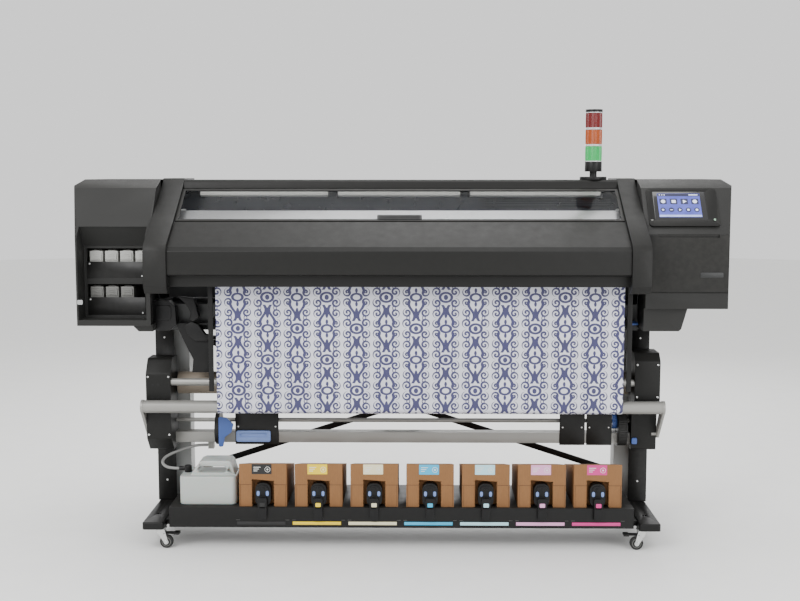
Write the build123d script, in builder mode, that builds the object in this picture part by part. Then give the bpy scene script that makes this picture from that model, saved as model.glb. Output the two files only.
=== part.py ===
"""Wide-format roll printer on a stand, with boxed ink supplies, a signal tower and a take-up.

Frame: +X to the right, -Y to the front, +Z up, origin on the floor under the middle of the
machine. Millimetres throughout.
"""
import os
from math import asin, atan2, cos, degrees, hypot, radians, sin, tan

from build123d import *

os.makedirs("parts", exist_ok=True)

# ---------------------------------------------------------------- overall sizes
BODY_WIDTH = 2561.0        # over the two side covers
BODY_DEPTH = 840.0         # front of the arch covers to the back of the roll flanges
BODY_TOP = 1380.0          # top of the arch covers
CLEAR = 0.3                # gap left where two moving pieces pass
RUNNING = 0.05             # radial gap of a shaft in its bore
SHEET = 3.0                # wall of the moulded covers
PLATE = 5.0                # steel plate

# ---------------------------------------------------------------- stand
FOOT_X = 923.0             # middle of each foot
FOOT_WIDTH = 80.0
FOOT_HALF_LENGTH = 397.0
FOOT_BOTTOM = 81.0
FOOT_TOP = 108.0
FOOT_HOLE_Y = 280.0
FOOT_HOLE_R = 9.0
CASTER_PAD = 45.0          # solid foot left on each side of a caster
CASTER_X = 900.0
CASTER_Y = 355.0
WHEEL_R = 25.0
WHEEL_WIDTH = 20.0
WHEEL_TRAIL = 20.0
AXLE_R = 4.0
PEDAL_Z = 57.5
PEDAL_PIVOT = 13.0         # from the swivel axis to the pedal's pin
PEDAL_PIN_R = 2.0
COLUMN_IN = 846.0          # inboard face of the steel column
COLUMN_OUT = 955.0
COLUMN_FRONT = -20.0
COLUMN_BACK = 60.0
COLUMN_TOP = 800.0
COVER_OUT = 966.0          # outer face of the black column cover
COVER_IN = 893.0
COVER_FRONT = -85.0
COVER_BACK = 80.0
BRACE_Y = 64.0
BRACE_THICK = 4.0
BRACE_WIDTH = 24.0

# ---------------------------------------------------------------- supply shelf
TRAY_LEFT = -866.0
TRAY_RIGHT = 866.0
TRAY_FLOOR = 160.0
TRAY_BOTTOM = 84.0
TRAY_FRONT = -372.0
TRAY_BACK = -40.0
SUPPLY_COUNT = 7
SUPPLY_PITCH = 208.0
SUPPLY_FIRST_X = -515.5    # middle of the first box
SUPPLY_WIDTH = 177.0
SUPPLY_HEIGHT = 163.0      # at the front; the top falls to the rear
SUPPLY_BACK_HEIGHT = 94.0
SUPPLY_FRONT = -358.0
SUPPLY_LENGTH = 290.0
SUPPLY_LIFT = 0.3
DOORWAY_WIDTH = 84.0
DOORWAY_HEIGHT = 104.0
DOORWAY_DEPTH = 42.0
HOOD_WIDTH = 58.0          # connector plugged in the doorway
HOOD_HEIGHT = 88.0
SPOUT_WIDTH = 34.0
SPOUT_HEIGHT = 36.0
SPOUT_REACH = 12.0         # in front of the shelf
HOOK_WIDTH = 28.0
HOOK_DROP = 44.0           # below the shelf's surface
BOTTLE_X = -725.0
BOTTLE_WIDTH = 214.0
BOTTLE_DEPTH = 150.0
BOTTLE_FRONT = -340.0
BOTTLE_SHOULDER = 108.0    # above the shelf
BOTTLE_HEIGHT = 162.0
FITTING_R = 14.0
FITTING_X = -812.0
FITTING_Y = -262.0
HOSE_D = 11.0
HOSE_POINTS = [            # from the bottle's elbow round to the gland under the beam
    (-846, -262, 281),
    (-884, -262, 281),
    (-914, -246, 293),
    (-918, -212, 306),
    (-896, -184, 318),
    (-862, -161, 327),
    (-830, -140, 335),
    (-796, -127, 341),
    (-756, -127, 341),
]

# ---------------------------------------------------------------- printer frame
CHASSIS_FRONT = -160.0
CHASSIS_BACK = 160.0
CHASSIS_TOP = 900.0
UPPER_BEAM_BOTTOM = 910.0
UPPER_BEAM_FRONT = 0.0
UPPER_BEAM_BACK = 200.0
UPPER_BEAM_TOP = 1000.0
END_PLATE_LEFT = -1206.0   # inner face of the outer left plate
END_PLATE_RIGHT = 1225.0   # inner face of the outer right plate
INNER_LEFT = -928.0        # inner faces of the two arch plates
INNER_RIGHT = 899.0
PLATE_TOP = 1330.0
INNER_PLATE_TOP = 1300.0
PLATEN_TOP = 1172.0
PLATEN_FRONT = -140.0
PLATEN_BACK = 110.0
PLATEN_THICK = 22.0
PANEL_Y = 66.0             # dark panel behind the carriage, with a slot over three strips
SLOT_LEFT = 310.0
SLOT_RIGHT = 828.0
SLOT_BOTTOM = 1262.0
SLOT_TOP = 1300.0
RAIL_R = 10.0
RAIL_FRONT_Y = -105.0
RAIL_BACK_Y = 30.0
RAIL_Z = 1214.0
CARRIAGE_X = 1050.0        # parked at the right
CARRIAGE_WIDTH = 190.0
CARRIAGE_TOP = 1262.0
CARRIAGE_BOTTOM = 1186.0
CARRIAGE_FRONT = -130.0
CARRIAGE_BACK = 50.0

# ---------------------------------------------------------------- covers
ARCH_LEFT = -933.0         # outboard edges of the arch covers
ARCH_RIGHT = 905.0
BAY_LEFT = -849.0          # inboard edges of the arch covers
BAY_RIGHT = 834.0
SLOPE_TOP_Y = -70.0        # the sloping front: window above, cover below
SLOPE_TOP_Z = 1340.0
SLOPE_MID_Y = -252.0
SLOPE_MID_Z = 1222.0
SLOPE_END_Y = -398.0
SLOPE_END_Z = 1134.0
FACE_Y = -412.0
FACE_TOP = 1118.0
FACE_BOTTOM = 1034.0
SKIRT_Y = -384.0
SKIRT_BOTTOM = 987.0
JOINT_GAP = 1.0            # seam between neighbouring covers
WINDOW_THICK = 5.0
GRIP_X = -7.0
GRIP_WIDTH = 168.0
SIDE_DOOR_LEFT = 910.0
SIDE_DOOR_RIGHT = 1208.0
SIDE_DOOR_BOTTOM = 960.0
SIDE_DOOR_TOP = 1174.0
SIDE_DOOR_FRONT = -306.0
SIDE_DOOR_THICK = 14.0
TOWER_X = 748.0
TOWER_TOP = 1646.0
TOWER_R = 33.0
TOWER_CAP = 10.0
BAY_BACK = -62.0           # back of the cartridge bay in the left cover
TANK_PITCH = 58.0
TANK_WIDTH = 49.0
TANK_FIRST_X = -1160.5

# ---------------------------------------------------------------- paper path and take-up
WEB_LEFT = -693.0
WEB_WIDTH = 1524.0
WEB_THICK = 0.8
BAR_Y = -265.0
BAR_Z = 520.0
BAR_R = 24.0
PIVOT_Y = -170.0
PIVOT_Z = 400.0
REEL_Y = -105.0
REEL_Z = 585.0
REEL_R = 43.0
GUIDE_Y = -215.0
GUIDE_Z = 606.0
GUIDE_R = 14.0
SUPPLY_ROLL_Y = 300.0
SUPPLY_ROLL_Z = 700.0
SUPPLY_ROLL_R = 85.0
FLANGE_R = BODY_DEPTH / 2 - SUPPLY_ROLL_Y
CORE_R = 38.0
SPINDLE_R = 16.0
SPINDLE_IN = 915.0         # outer ends of the supply spindle
SUPPORT_WIDTH = 22.0
BEAM_TOP = 398.0
BEAM_BOTTOM = 357.0
BEAM_FRONT = -150.0
BEAM_BACK = -100.0
HOUSING_LEFT_X = -974.0
HOUSING_LEFT_IN = -880.0
HOUSING_RIGHT_IN = 885.0
HOUSING_RIGHT_X = 981.0
HUB_LEFT_X = -715.0
HUB_RIGHT_X = 853.0
HUB_Y = (BEAM_FRONT + BEAM_BACK) / 2
HUB_Z = 411.0
HUB_R = 65.0
TIE_BAR_Z = 441.0
TIE_BAR_R = 8.0
LEVER_X = HUB_LEFT_X + 20.0
LEVER_BOSS_FRONT = -193.0
LEVER_PIN_R = 6.0
LEVER_GAP = 1.0

WEB_RIGHT = WEB_LEFT + WEB_WIDTH
WEB_X = WEB_LEFT + WEB_WIDTH / 2
FRONT_Y = -BODY_DEPTH / 2
HALF_WIDTH = BODY_WIDTH / 2


def save(piece, label):
    """Label a finished piece and write it."""
    piece.part.label = label
    export_step(piece.part, f"parts/{label}.step")


def box(x0, x1, y0, y1, z0, z1, mode=Mode.ADD):
    """A block between two corners, in the current part."""
    with Locations((x0, y0, z0)):
        Box(x1 - x0, y1 - y0, z1 - z0, align=(Align.MIN, Align.MIN, Align.MIN), mode=mode)


def rod(x0, x1, y, z, r, mode=Mode.ADD):
    """A round bar along X, in the current part."""
    with BuildSketch(Plane.YZ.offset(x0)) as section:
        with Locations((y, z)):
            Circle(r)
    extrude(section.sketch, amount=x1 - x0, mode=mode)


def profile(points, x0, x1, mode=Mode.ADD):
    """A closed outline in the YZ plane, extruded from x0 to x1, in the current part."""
    with BuildSketch(Plane.YZ.offset(x0)) as section:
        with BuildLine():
            Polyline(*points, close=True)
        make_face()
    extrude(section.sketch, amount=x1 - x0, mode=mode)


def mitred(points, thick):
    """The points of a line moved `thick` to its left, with mitred corners."""
    moved = []
    for i, (y, z) in enumerate(points):
        before = points[max(i - 1, 0)]
        after = points[min(i + 1, len(points) - 1)]
        into = Vector(y - before[0], z - before[1]) if i else Vector(after[0] - y, after[1] - z)
        out = Vector(after[0] - y, after[1] - z) if after != (y, z) else into
        normal = (into.normalized() + out.normalized()).rotate(Axis.Z, 90).normalized()
        reach = thick / cos(radians(into.get_angle(out)) / 2)
        moved.append((y + normal.X * reach, z + normal.Y * reach))
    return moved


def turn_signs(points):
    """+1 where the line turns left, -1 where it turns right, one for each corner."""
    signs = []
    for before, here, after in zip(points, points[1:], points[2:]):
        cross = ((here[0] - before[0]) * (after[1] - here[1])
                 - (here[1] - before[1]) * (after[0] - here[0]))
        signs.append(1 if cross > 0 else -1)
    return signs


def bent(points, radii, thick, x0, x1):
    """A bent sheet: a filleted line in the YZ plane, `thick` to its left, extruded along X."""
    far_radii = [r - thick * sign for r, sign in zip(radii, turn_signs(points))]
    with BuildSketch(Plane.YZ.offset(x0)) as section:
        with BuildLine():
            near = FilletPolyline(*points, radius=radii)
            far = FilletPolyline(*mitred(points, thick), radius=far_radii)
            Line(near @ 0, far @ 0)
            Line(near @ 1, far @ 1)
        make_face()
    extrude(section.sketch, amount=x1 - x0)


def bend_radii(points):
    """One radius for each corner of a hose: as large as its two runs allow."""
    radii = []
    for before, here, after in zip(points, points[1:], points[2:]):
        into = Vector(*here) - Vector(*before)
        out = Vector(*after) - Vector(*here)
        half_turn = radians(into.get_angle(out)) / 2
        radii.append(0.45 * min(into.length, out.length) / tan(half_turn))
    print("hose bend radii", [round(radius, 1) for radius in radii])
    return radii


# ================================================================ stand
with BuildPart() as feet:
    with BuildSketch(Plane.XY.offset(FOOT_BOTTOM)):
        with Locations((-FOOT_X, 0), (FOOT_X, 0)):
            RectangleRounded(FOOT_WIDTH, 2 * FOOT_HALF_LENGTH, 12)
    extrude(amount=FOOT_TOP - FOOT_BOTTOM)
    chamfer(feet.edges().group_by(Axis.Z)[-1], 4)
    with BuildSketch(Plane.XY.offset(FOOT_BOTTOM)):
        with Locations((-FOOT_X, 0), (FOOT_X, 0)):
            Rectangle(FOOT_WIDTH - 2 * PLATE, 2 * (CASTER_Y - CASTER_PAD))
    extrude(amount=FOOT_TOP - FOOT_BOTTOM - PLATE, mode=Mode.SUBTRACT)
    with BuildSketch(Plane.XY.offset(FOOT_BOTTOM)):
        with GridLocations(2 * FOOT_X, 2 * FOOT_HOLE_Y, 2, 2):
            Circle(FOOT_HOLE_R)
    extrude(amount=FOOT_TOP - FOOT_BOTTOM, mode=Mode.SUBTRACT)
save(feet, "feet")

for name, side in (("left_column", -1), ("right_column", 1)):
    with BuildPart() as column:
        near, far = sorted((side * COLUMN_IN, side * COLUMN_OUT))
        box(near, far, COLUMN_FRONT, COLUMN_BACK, FOOT_TOP + PLATE, COLUMN_TOP - PLATE)
        box(near + SHEET, far - SHEET, COLUMN_FRONT + SHEET, COLUMN_BACK - SHEET,
            FOOT_TOP + PLATE, COLUMN_TOP - PLATE, Mode.SUBTRACT)
        plate_in, plate_out = sorted((side * (FOOT_X - FOOT_WIDTH / 2 + 5), side * COLUMN_OUT))
        box(plate_in, plate_out, COVER_FRONT + 8, COVER_BACK - 8, FOOT_TOP, FOOT_TOP + PLATE)
        box(near, far, COLUMN_FRONT - 30, COLUMN_BACK + 30, COLUMN_TOP - PLATE, COLUMN_TOP)
    save(column, name)

with BuildPart() as column_covers:
    for side in (-1, 1):
        near, far = sorted((side * COVER_IN, side * COVER_OUT))
        box(near, far, COVER_FRONT, COVER_BACK, FOOT_TOP, COLUMN_TOP - PLATE)
        inner_near = near + SHEET if side < 0 else near
        inner_far = far if side < 0 else far - SHEET
        box(inner_near, inner_far, COVER_FRONT + SHEET, COVER_BACK - SHEET,
            FOOT_TOP, COLUMN_TOP - PLATE, Mode.SUBTRACT)
save(column_covers, "column_covers")

brace_rise = 550.0
brace_span = 2 * COLUMN_IN
brace_angle = degrees(atan2(brace_rise, brace_span))
brace_length = hypot(brace_rise, brace_span) - 30
BRACE_Z = 470.0
with BuildPart() as cross_brace:
    for layer, turn in ((0, brace_angle), (1, -brace_angle)):
        plane = Plane.XZ.offset(-BRACE_Y - layer * BRACE_THICK)
        with BuildSketch(plane):
            with Locations(Location((0, BRACE_Z), turn)):
                SlotOverall(brace_length, BRACE_WIDTH)
        extrude(amount=-BRACE_THICK)
    with BuildSketch(Plane.XZ.offset(-BRACE_Y + 4)):
        with Locations((0, BRACE_Z)):
            RegularPolygon(9, 6)
    extrude(amount=-4)
save(cross_brace, "cross_brace")

# ---------------------------------------------------------------- casters
FORK_GAP = WHEEL_WIDTH / 2 + 1.5
LEG = 2.5
corners = (("front_left", -1, -1), ("front_right", 1, -1),
           ("rear_left", -1, 1), ("rear_right", 1, 1))
for corner, side_x, side_y in corners:
    stem_x = side_x * CASTER_X
    stem_y = side_y * CASTER_Y
    trail = -side_x * WHEEL_TRAIL
    axle_x = stem_x + trail
    with BuildPart() as fork:
        with BuildSketch(Plane.XY.offset(FOOT_BOTTOM - CLEAR)):
            with Locations((stem_x, stem_y)):
                Circle(22)
        extrude(amount=-4)
        with BuildSketch(Plane.XY.offset(FOOT_BOTTOM - CLEAR - 4)):
            with Locations((stem_x, stem_y)):
                Circle(17)
        extrude(amount=-5)
        with BuildSketch(Plane.XY.offset(FOOT_BOTTOM - CLEAR - 9)):
            with Locations((stem_x, stem_y)):
                RectangleRounded(32, 2 * (FORK_GAP + LEG), 4)
        extrude(amount=-5)
        for leg_side in (-1, 1):
            leg_y = stem_y + leg_side * FORK_GAP
            with BuildSketch(Plane.XZ.offset(-leg_y)):
                with BuildLine():
                    Polyline((stem_x - 16, FOOT_BOTTOM - 13), (stem_x + 16, FOOT_BOTTOM - 13),
                             (axle_x + 8, WHEEL_R - 2), (axle_x - 8, WHEEL_R - 2), close=True)
                make_face()
                with Locations((axle_x, WHEEL_R)):
                    Circle(9)
            extrude(amount=-leg_side * LEG)
        if side_y < 0:
            with BuildSketch(Plane.XZ.offset(-(stem_y - FORK_GAP - LEG))):
                with Locations((stem_x - side_x * PEDAL_PIVOT, PEDAL_Z)):
                    Circle(PEDAL_PIN_R + RUNNING)
            extrude(amount=-2 * (FORK_GAP + LEG), mode=Mode.SUBTRACT)
        with BuildSketch(Plane.XZ.offset(-(stem_y - FORK_GAP - LEG - 2))):
            with Locations((axle_x, WHEEL_R)):
                Circle(AXLE_R)
        extrude(amount=-2 * (FORK_GAP + LEG + 2))
    save(fork, f"{corner}_fork")
    with BuildPart() as wheel:
        with BuildSketch(Plane.XZ.offset(-(stem_y - WHEEL_WIDTH / 2))):
            with Locations((axle_x, WHEEL_R)):
                Circle(WHEEL_R)
        extrude(amount=-WHEEL_WIDTH)
        tread = wheel.edges().filter_by(GeomType.CIRCLE)
        fillet(tread, 4)
        with BuildSketch(Plane.XZ.offset(-(stem_y - WHEEL_WIDTH / 2))):
            with Locations((axle_x, WHEEL_R)):
                Circle(AXLE_R + RUNNING)
        extrude(amount=-WHEEL_WIDTH, mode=Mode.SUBTRACT)
    save(wheel, f"{corner}_wheel")
    if side_y < 0:
        reach = -side_x
        with BuildPart() as pedal:
            tip = sorted((stem_x + reach * (PEDAL_PIVOT - 4), stem_x + reach * 66))
            box(tip[0], tip[1], stem_y - FORK_GAP + 1, stem_y + FORK_GAP - 1,
                PEDAL_Z - 2, PEDAL_Z + 3)
            pad = sorted((stem_x + reach * 50, stem_x + reach * 70))
            box(pad[0], pad[1], stem_y - 17, stem_y + 17, PEDAL_Z - 3, PEDAL_Z + 4)
            fillet(pedal.edges().filter_by(Axis.Z), 1.5)
            with BuildSketch(Plane.XZ.offset(-(stem_y - FORK_GAP - LEG))):
                with Locations((stem_x + reach * PEDAL_PIVOT, PEDAL_Z)):
                    Circle(PEDAL_PIN_R)
            extrude(amount=-2 * (FORK_GAP + LEG))
        save(pedal, f"{corner}_brake_pedal")

# ================================================================ supply shelf
with BuildPart() as supply_tray:
    box(TRAY_LEFT, TRAY_RIGHT, TRAY_FRONT, TRAY_BACK, TRAY_BOTTOM, TRAY_FLOOR)
    box(TRAY_LEFT, TRAY_RIGHT, TRAY_FRONT + SHEET, TRAY_BACK - SHEET,
        TRAY_BOTTOM, TRAY_FLOOR - SHEET, Mode.SUBTRACT)
    for end in (-1, 1):
        arm = sorted((end * TRAY_RIGHT, end * (FOOT_X - FOOT_WIDTH / 2)))
        box(arm[0], arm[1], TRAY_FRONT + 30, TRAY_BACK - 30, TRAY_BOTTOM + 2, FOOT_TOP - 2)
        web_in = sorted((end * (TRAY_RIGHT - SHEET), end * TRAY_RIGHT))
        box(web_in[0], web_in[1], TRAY_FRONT, TRAY_BACK, TRAY_BOTTOM, TRAY_FLOOR)
save(supply_tray, "supply_tray")

supply_xs = [SUPPLY_FIRST_X + i * SUPPLY_PITCH for i in range(SUPPLY_COUNT)]
box_back = SUPPLY_FRONT + SUPPLY_LENGTH
box_base = TRAY_FLOOR + SUPPLY_LIFT
for index, x in enumerate(supply_xs):
    with BuildPart() as supply_box:
        with BuildSketch(Plane.YZ.offset(x - SUPPLY_WIDTH / 2)):
            with BuildLine():
                Polyline((SUPPLY_FRONT, box_base), (box_back, box_base),
                         (box_back, box_base + SUPPLY_BACK_HEIGHT),
                         (SUPPLY_FRONT, box_base + SUPPLY_HEIGHT), close=True)
            make_face()
        extrude(amount=SUPPLY_WIDTH)
        box(x - DOORWAY_WIDTH / 2, x + DOORWAY_WIDTH / 2, SUPPLY_FRONT, SUPPLY_FRONT + DOORWAY_DEPTH,
            box_base, box_base + DOORWAY_HEIGHT, Mode.SUBTRACT)
        doorway_back = SUPPLY_FRONT + DOORWAY_DEPTH
        box(x - HOOD_WIDTH / 2, x + HOOD_WIDTH / 2, SUPPLY_FRONT + 2, doorway_back,
            box_base, box_base + HOOD_HEIGHT)
        box(x - SPOUT_WIDTH / 2, x + SPOUT_WIDTH / 2, TRAY_FRONT - SPOUT_REACH, SUPPLY_FRONT + 2,
            box_base, box_base + SPOUT_HEIGHT)
        box(x - HOOK_WIDTH / 2, x + HOOK_WIDTH / 2, TRAY_FRONT - SPOUT_REACH, TRAY_FRONT - CLEAR,
            TRAY_FLOOR - HOOK_DROP, box_base)
    save(supply_box, f"supply_box_{index + 1}")

bottle_back = BOTTLE_FRONT + BOTTLE_DEPTH
bottle_mid_y = BOTTLE_FRONT + BOTTLE_DEPTH / 2
with BuildPart() as waste_bottle:
    with BuildSketch(Plane.XY.offset(TRAY_FLOOR)):
        with Locations((BOTTLE_X, bottle_mid_y)):
            RectangleRounded(BOTTLE_WIDTH, BOTTLE_DEPTH, 22)
    extrude(amount=BOTTLE_SHOULDER)
    with BuildSketch(Plane.XZ.offset(-BOTTLE_FRONT - 28)):
        with BuildLine():
            shoulder_z = TRAY_FLOOR + BOTTLE_SHOULDER
            top_z = TRAY_FLOOR + BOTTLE_HEIGHT
            Polyline((BOTTLE_X - 70, shoulder_z), (BOTTLE_X + 100, shoulder_z),
                     (BOTTLE_X + 86, top_z - 8), (BOTTLE_X + 76, top_z),
                     (BOTTLE_X - 22, top_z), (BOTTLE_X - 36, top_z - 6), close=True)
        make_face()
    extrude(amount=-(BOTTLE_DEPTH - 56))
    with BuildSketch(Plane.XZ.offset(-BOTTLE_FRONT)):
        with Locations((BOTTLE_X + 12, TRAY_FLOOR + BOTTLE_SHOULDER + 20)):
            SlotOverall(110, 24)
    extrude(amount=-BOTTLE_DEPTH, mode=Mode.SUBTRACT)
    fillet(waste_bottle.edges().group_by(Axis.Z)[0], 6)
save(waste_bottle, "waste_bottle")

fitting_base = TRAY_FLOOR + BOTTLE_SHOULDER
with BuildPart() as bottle_fitting:
    with BuildSketch(Plane.XY.offset(fitting_base)):
        with Locations((FITTING_X, FITTING_Y)):
            Circle(FITTING_R)
    extrude(amount=26)
    fillet(bottle_fitting.edges().group_by(Axis.Z)[-1], 5)
    rod(HOSE_POINTS[0][0], FITTING_X, FITTING_Y, HOSE_POINTS[0][2], HOSE_D / 2 + 2)
save(bottle_fitting, "bottle_fitting")

with BuildPart() as waste_hose:
    with BuildLine() as hose_line:
        FilletPolyline(*HOSE_POINTS, radius=bend_radii(HOSE_POINTS))
    with BuildSketch(Plane(origin=HOSE_POINTS[0], z_dir=(-1, 0, 0))):
        Circle(HOSE_D / 2)
    sweep()
save(waste_hose, "waste_hose")
hose_length = hose_line.wires()[0].length
hose_section = 3.141592653589793 * HOSE_D ** 2 / 4
print("hose length", round(hose_length, 1), "volume ratio",
      round(waste_hose.part.volume / (hose_section * hose_length), 4))


# ================================================================ printer frame
with BuildPart() as chassis:
    box(INNER_LEFT - PLATE, INNER_RIGHT + PLATE, CHASSIS_FRONT, CHASSIS_BACK, COLUMN_TOP, CHASSIS_TOP)
    box(INNER_LEFT, INNER_RIGHT, CHASSIS_FRONT + PLATE, CHASSIS_BACK - PLATE,
        COLUMN_TOP + PLATE, CHASSIS_TOP - PLATE, Mode.SUBTRACT)
    box(END_PLATE_LEFT - PLATE, END_PLATE_RIGHT + PLATE, UPPER_BEAM_FRONT, UPPER_BEAM_BACK,
        UPPER_BEAM_BOTTOM, UPPER_BEAM_TOP)
    box(END_PLATE_LEFT, END_PLATE_RIGHT, UPPER_BEAM_FRONT + PLATE, UPPER_BEAM_BACK - PLATE,
        UPPER_BEAM_BOTTOM + PLATE, UPPER_BEAM_TOP - PLATE, Mode.SUBTRACT)
    for x in (END_PLATE_LEFT - PLATE, END_PLATE_RIGHT):
        profile([(BAY_BACK + SHEET + 4, UPPER_BEAM_BOTTOM), (UPPER_BEAM_BACK, UPPER_BEAM_BOTTOM),
                 (UPPER_BEAM_BACK, PLATE_TOP), (PLATEN_FRONT, PLATE_TOP), (PLATEN_FRONT, 1150),
                 (BAY_BACK + SHEET + 4, 1150)], x, x + PLATE)
    for x in (INNER_LEFT - PLATE, INNER_RIGHT):
        profile([(CHASSIS_FRONT, CHASSIS_TOP), (UPPER_BEAM_BACK, CHASSIS_TOP),
                 (UPPER_BEAM_BACK, INNER_PLATE_TOP), (SLOPE_TOP_Y + 10, INNER_PLATE_TOP),
                 (SLOPE_MID_Y + 30, SLOPE_MID_Z - 45), (SLOPE_MID_Y + 30, 1080)], x, x + PLATE)
        box(x, x + PLATE, CARRIAGE_FRONT - 8, CARRIAGE_BACK + 12, CARRIAGE_BOTTOM - 6,
            CARRIAGE_TOP + 10, Mode.SUBTRACT)
    for y in (RAIL_FRONT_Y, RAIL_BACK_Y):
        rod(END_PLATE_LEFT - PLATE, END_PLATE_LEFT, y, RAIL_Z, RAIL_R, Mode.SUBTRACT)
        rod(END_PLATE_RIGHT, END_PLATE_RIGHT + PLATE, y, RAIL_Z, RAIL_R, Mode.SUBTRACT)
    for side in (-1, 1):
        low, high = sorted((side * SPINDLE_IN, side * (SPINDLE_IN - SUPPORT_WIDTH)))
        profile([(CHASSIS_BACK, 812), (CHASSIS_BACK, 890), (SUPPLY_ROLL_Y - 20, 880),
                 (SUPPLY_ROLL_Y + 45, 730), (SUPPLY_ROLL_Y + 45, 668), (SUPPLY_ROLL_Y - 40, 668),
                 (SUPPLY_ROLL_Y - 70, 760)], low, high)
        rod(low, high, SUPPLY_ROLL_Y, SUPPLY_ROLL_Z, SPINDLE_R + RUNNING, Mode.SUBTRACT)
save(chassis, "chassis")

with BuildPart() as platen:
    with BuildSketch(Plane.YZ.offset(INNER_LEFT)):
        with Locations(((PLATEN_FRONT + PLATEN_BACK) / 2, PLATEN_TOP - PLATEN_THICK / 2)):
            RectangleRounded(PLATEN_BACK - PLATEN_FRONT, PLATEN_THICK, 8)
    extrude(amount=INNER_RIGHT - INNER_LEFT)
    bent([(SLOPE_MID_Y + 24, SLOPE_MID_Z - 12), (SLOPE_MID_Y + 34, SLOPE_MID_Z - 6),
          (PLATEN_FRONT - 14, 1258)], [5], -2, BAY_LEFT, BAY_RIGHT)
save(platen, "platen")

with BuildPart() as back_panel:
    box(INNER_LEFT, INNER_RIGHT, PANEL_Y, PANEL_Y + SHEET, CARRIAGE_BOTTOM, INNER_PLATE_TOP)
    box(BAY_LEFT, BAY_RIGHT, PANEL_Y, PANEL_Y + SHEET, CARRIAGE_BOTTOM, PLATE_TOP - 12)
    box(SLOT_LEFT, SLOT_RIGHT, PANEL_Y, PANEL_Y + SHEET, SLOT_BOTTOM, SLOT_TOP, Mode.SUBTRACT)
    for z in (SLOT_BOTTOM + 10, (SLOT_BOTTOM + SLOT_TOP) / 2, SLOT_TOP - 10):
        box(SLOT_LEFT - 10, SLOT_RIGHT + 10, PANEL_Y + SHEET, PANEL_Y + SHEET + 8, z - 3, z + 3)
save(back_panel, "back_panel")

with BuildPart() as carriage_rails:
    for y in (RAIL_FRONT_Y, RAIL_BACK_Y):
        rod(END_PLATE_LEFT - PLATE, END_PLATE_RIGHT + PLATE, y, RAIL_Z, RAIL_R)
save(carriage_rails, "carriage_rails")

with BuildPart() as carriage:
    left = CARRIAGE_X - CARRIAGE_WIDTH / 2
    right = CARRIAGE_X + CARRIAGE_WIDTH / 2
    box(left, right, CARRIAGE_FRONT, CARRIAGE_BACK, CARRIAGE_BOTTOM, CARRIAGE_TOP)
    fillet(carriage.edges().group_by(Axis.Z)[-1], 8)
    box(left + 20, right - 20, RAIL_FRONT_Y + 22, RAIL_BACK_Y - 22,
        CARRIAGE_TOP - 22, CARRIAGE_TOP, Mode.SUBTRACT)
    for y in (RAIL_FRONT_Y, RAIL_BACK_Y):
        rod(left, right, y, RAIL_Z, RAIL_R + RUNNING, Mode.SUBTRACT)
save(carriage, "carriage")

# ================================================================ covers
# side covers: a side outline, cut to a plan outline and a front outline, then hollowed
SIDE_FRONT = -300.0
SIDE_BACK = 330.0
COVER_TOP = 1376.0
SLOPE_HIGH = (-160.0, COVER_TOP - 32.0)
SLOPE_LOW = (SIDE_FRONT + 30.0, 1196.0)
PANEL_X = 1052.0


def side_body(inner_x, side, bottom, top, wall):
    """The filled body of a side cover, `wall` inside its outer skin."""
    far = side * (HALF_WIDTH - wall)
    nose = side * (HALF_WIDTH - 70 - wall)
    low, high = sorted((inner_x, far))
    back = SIDE_BACK - wall
    front = SIDE_FRONT + wall
    profile([(back, bottom + wall), (back, top - 60 - wall), (back - 40, top - wall),
             (-75, top - wall), (SLOPE_HIGH[0], SLOPE_HIGH[1] - wall),
             (SLOPE_LOW[0] + wall, SLOPE_LOW[1] - wall),
             (front, SLOPE_LOW[1] - 28), (front, bottom + wall)], low, high)
    with BuildSketch(Plane.XY.offset(bottom)) as plan:
        with BuildLine():
            Polyline((inner_x, back), (far, back), (far, -35), (nose, front), (inner_x, front),
                     close=True)
        make_face()
    extrude(plan.sketch, amount=top - bottom, mode=Mode.INTERSECT)
    with BuildSketch(Plane.XZ.offset(-SIDE_BACK)) as front_view:
        with BuildLine():
            Polyline((inner_x, bottom), (far - side * 28, bottom), (far - side * 12, bottom + 60),
                     (far, bottom + 150), (far, bottom + 280), (far - side * 24, top - 26),
                     (far - side * 52, top), (inner_x, top), close=True)
        make_face()
    extrude(front_view.sketch, amount=SIDE_BACK - SIDE_FRONT, mode=Mode.INTERSECT)


LEFT_COVER_IN = INNER_LEFT - PLATE - JOINT_GAP
RIGHT_COVER_IN = INNER_RIGHT + PLATE + JOINT_GAP
LEFT_BOTTOM = 832.0
RIGHT_BOTTOM = 899.0
POD_FRONT = -272.0
POD_BACK = 150.0
BAY_ROW_TOPS = (1116.0, 980.0)
BAY_ROW_BOTTOMS = (1003.0, 862.0)
BAY_X0 = -1194.0
BAY_X1 = -975.0
BAY_FRONT = -205.0
RECESS_LEFT = -1204.0
RECESS_RIGHT = -950.0
RECESS_BOTTOM = 853.0
RECESS_DEEP_Z = 1125.0
RECESS_MID_Y = SIDE_FRONT + 40
RECESS_TOP = 1200.0
# the cover's inboard wall, where it stands in front of the arch; it ends ahead of the carriage
CHEEK = [(-78, 1373), (-160, 1344), (-270, 1199), (-300, 1168), (-300, 1040), (-150, 1040),
         (-150, 1280), (-78, 1300)]

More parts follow.
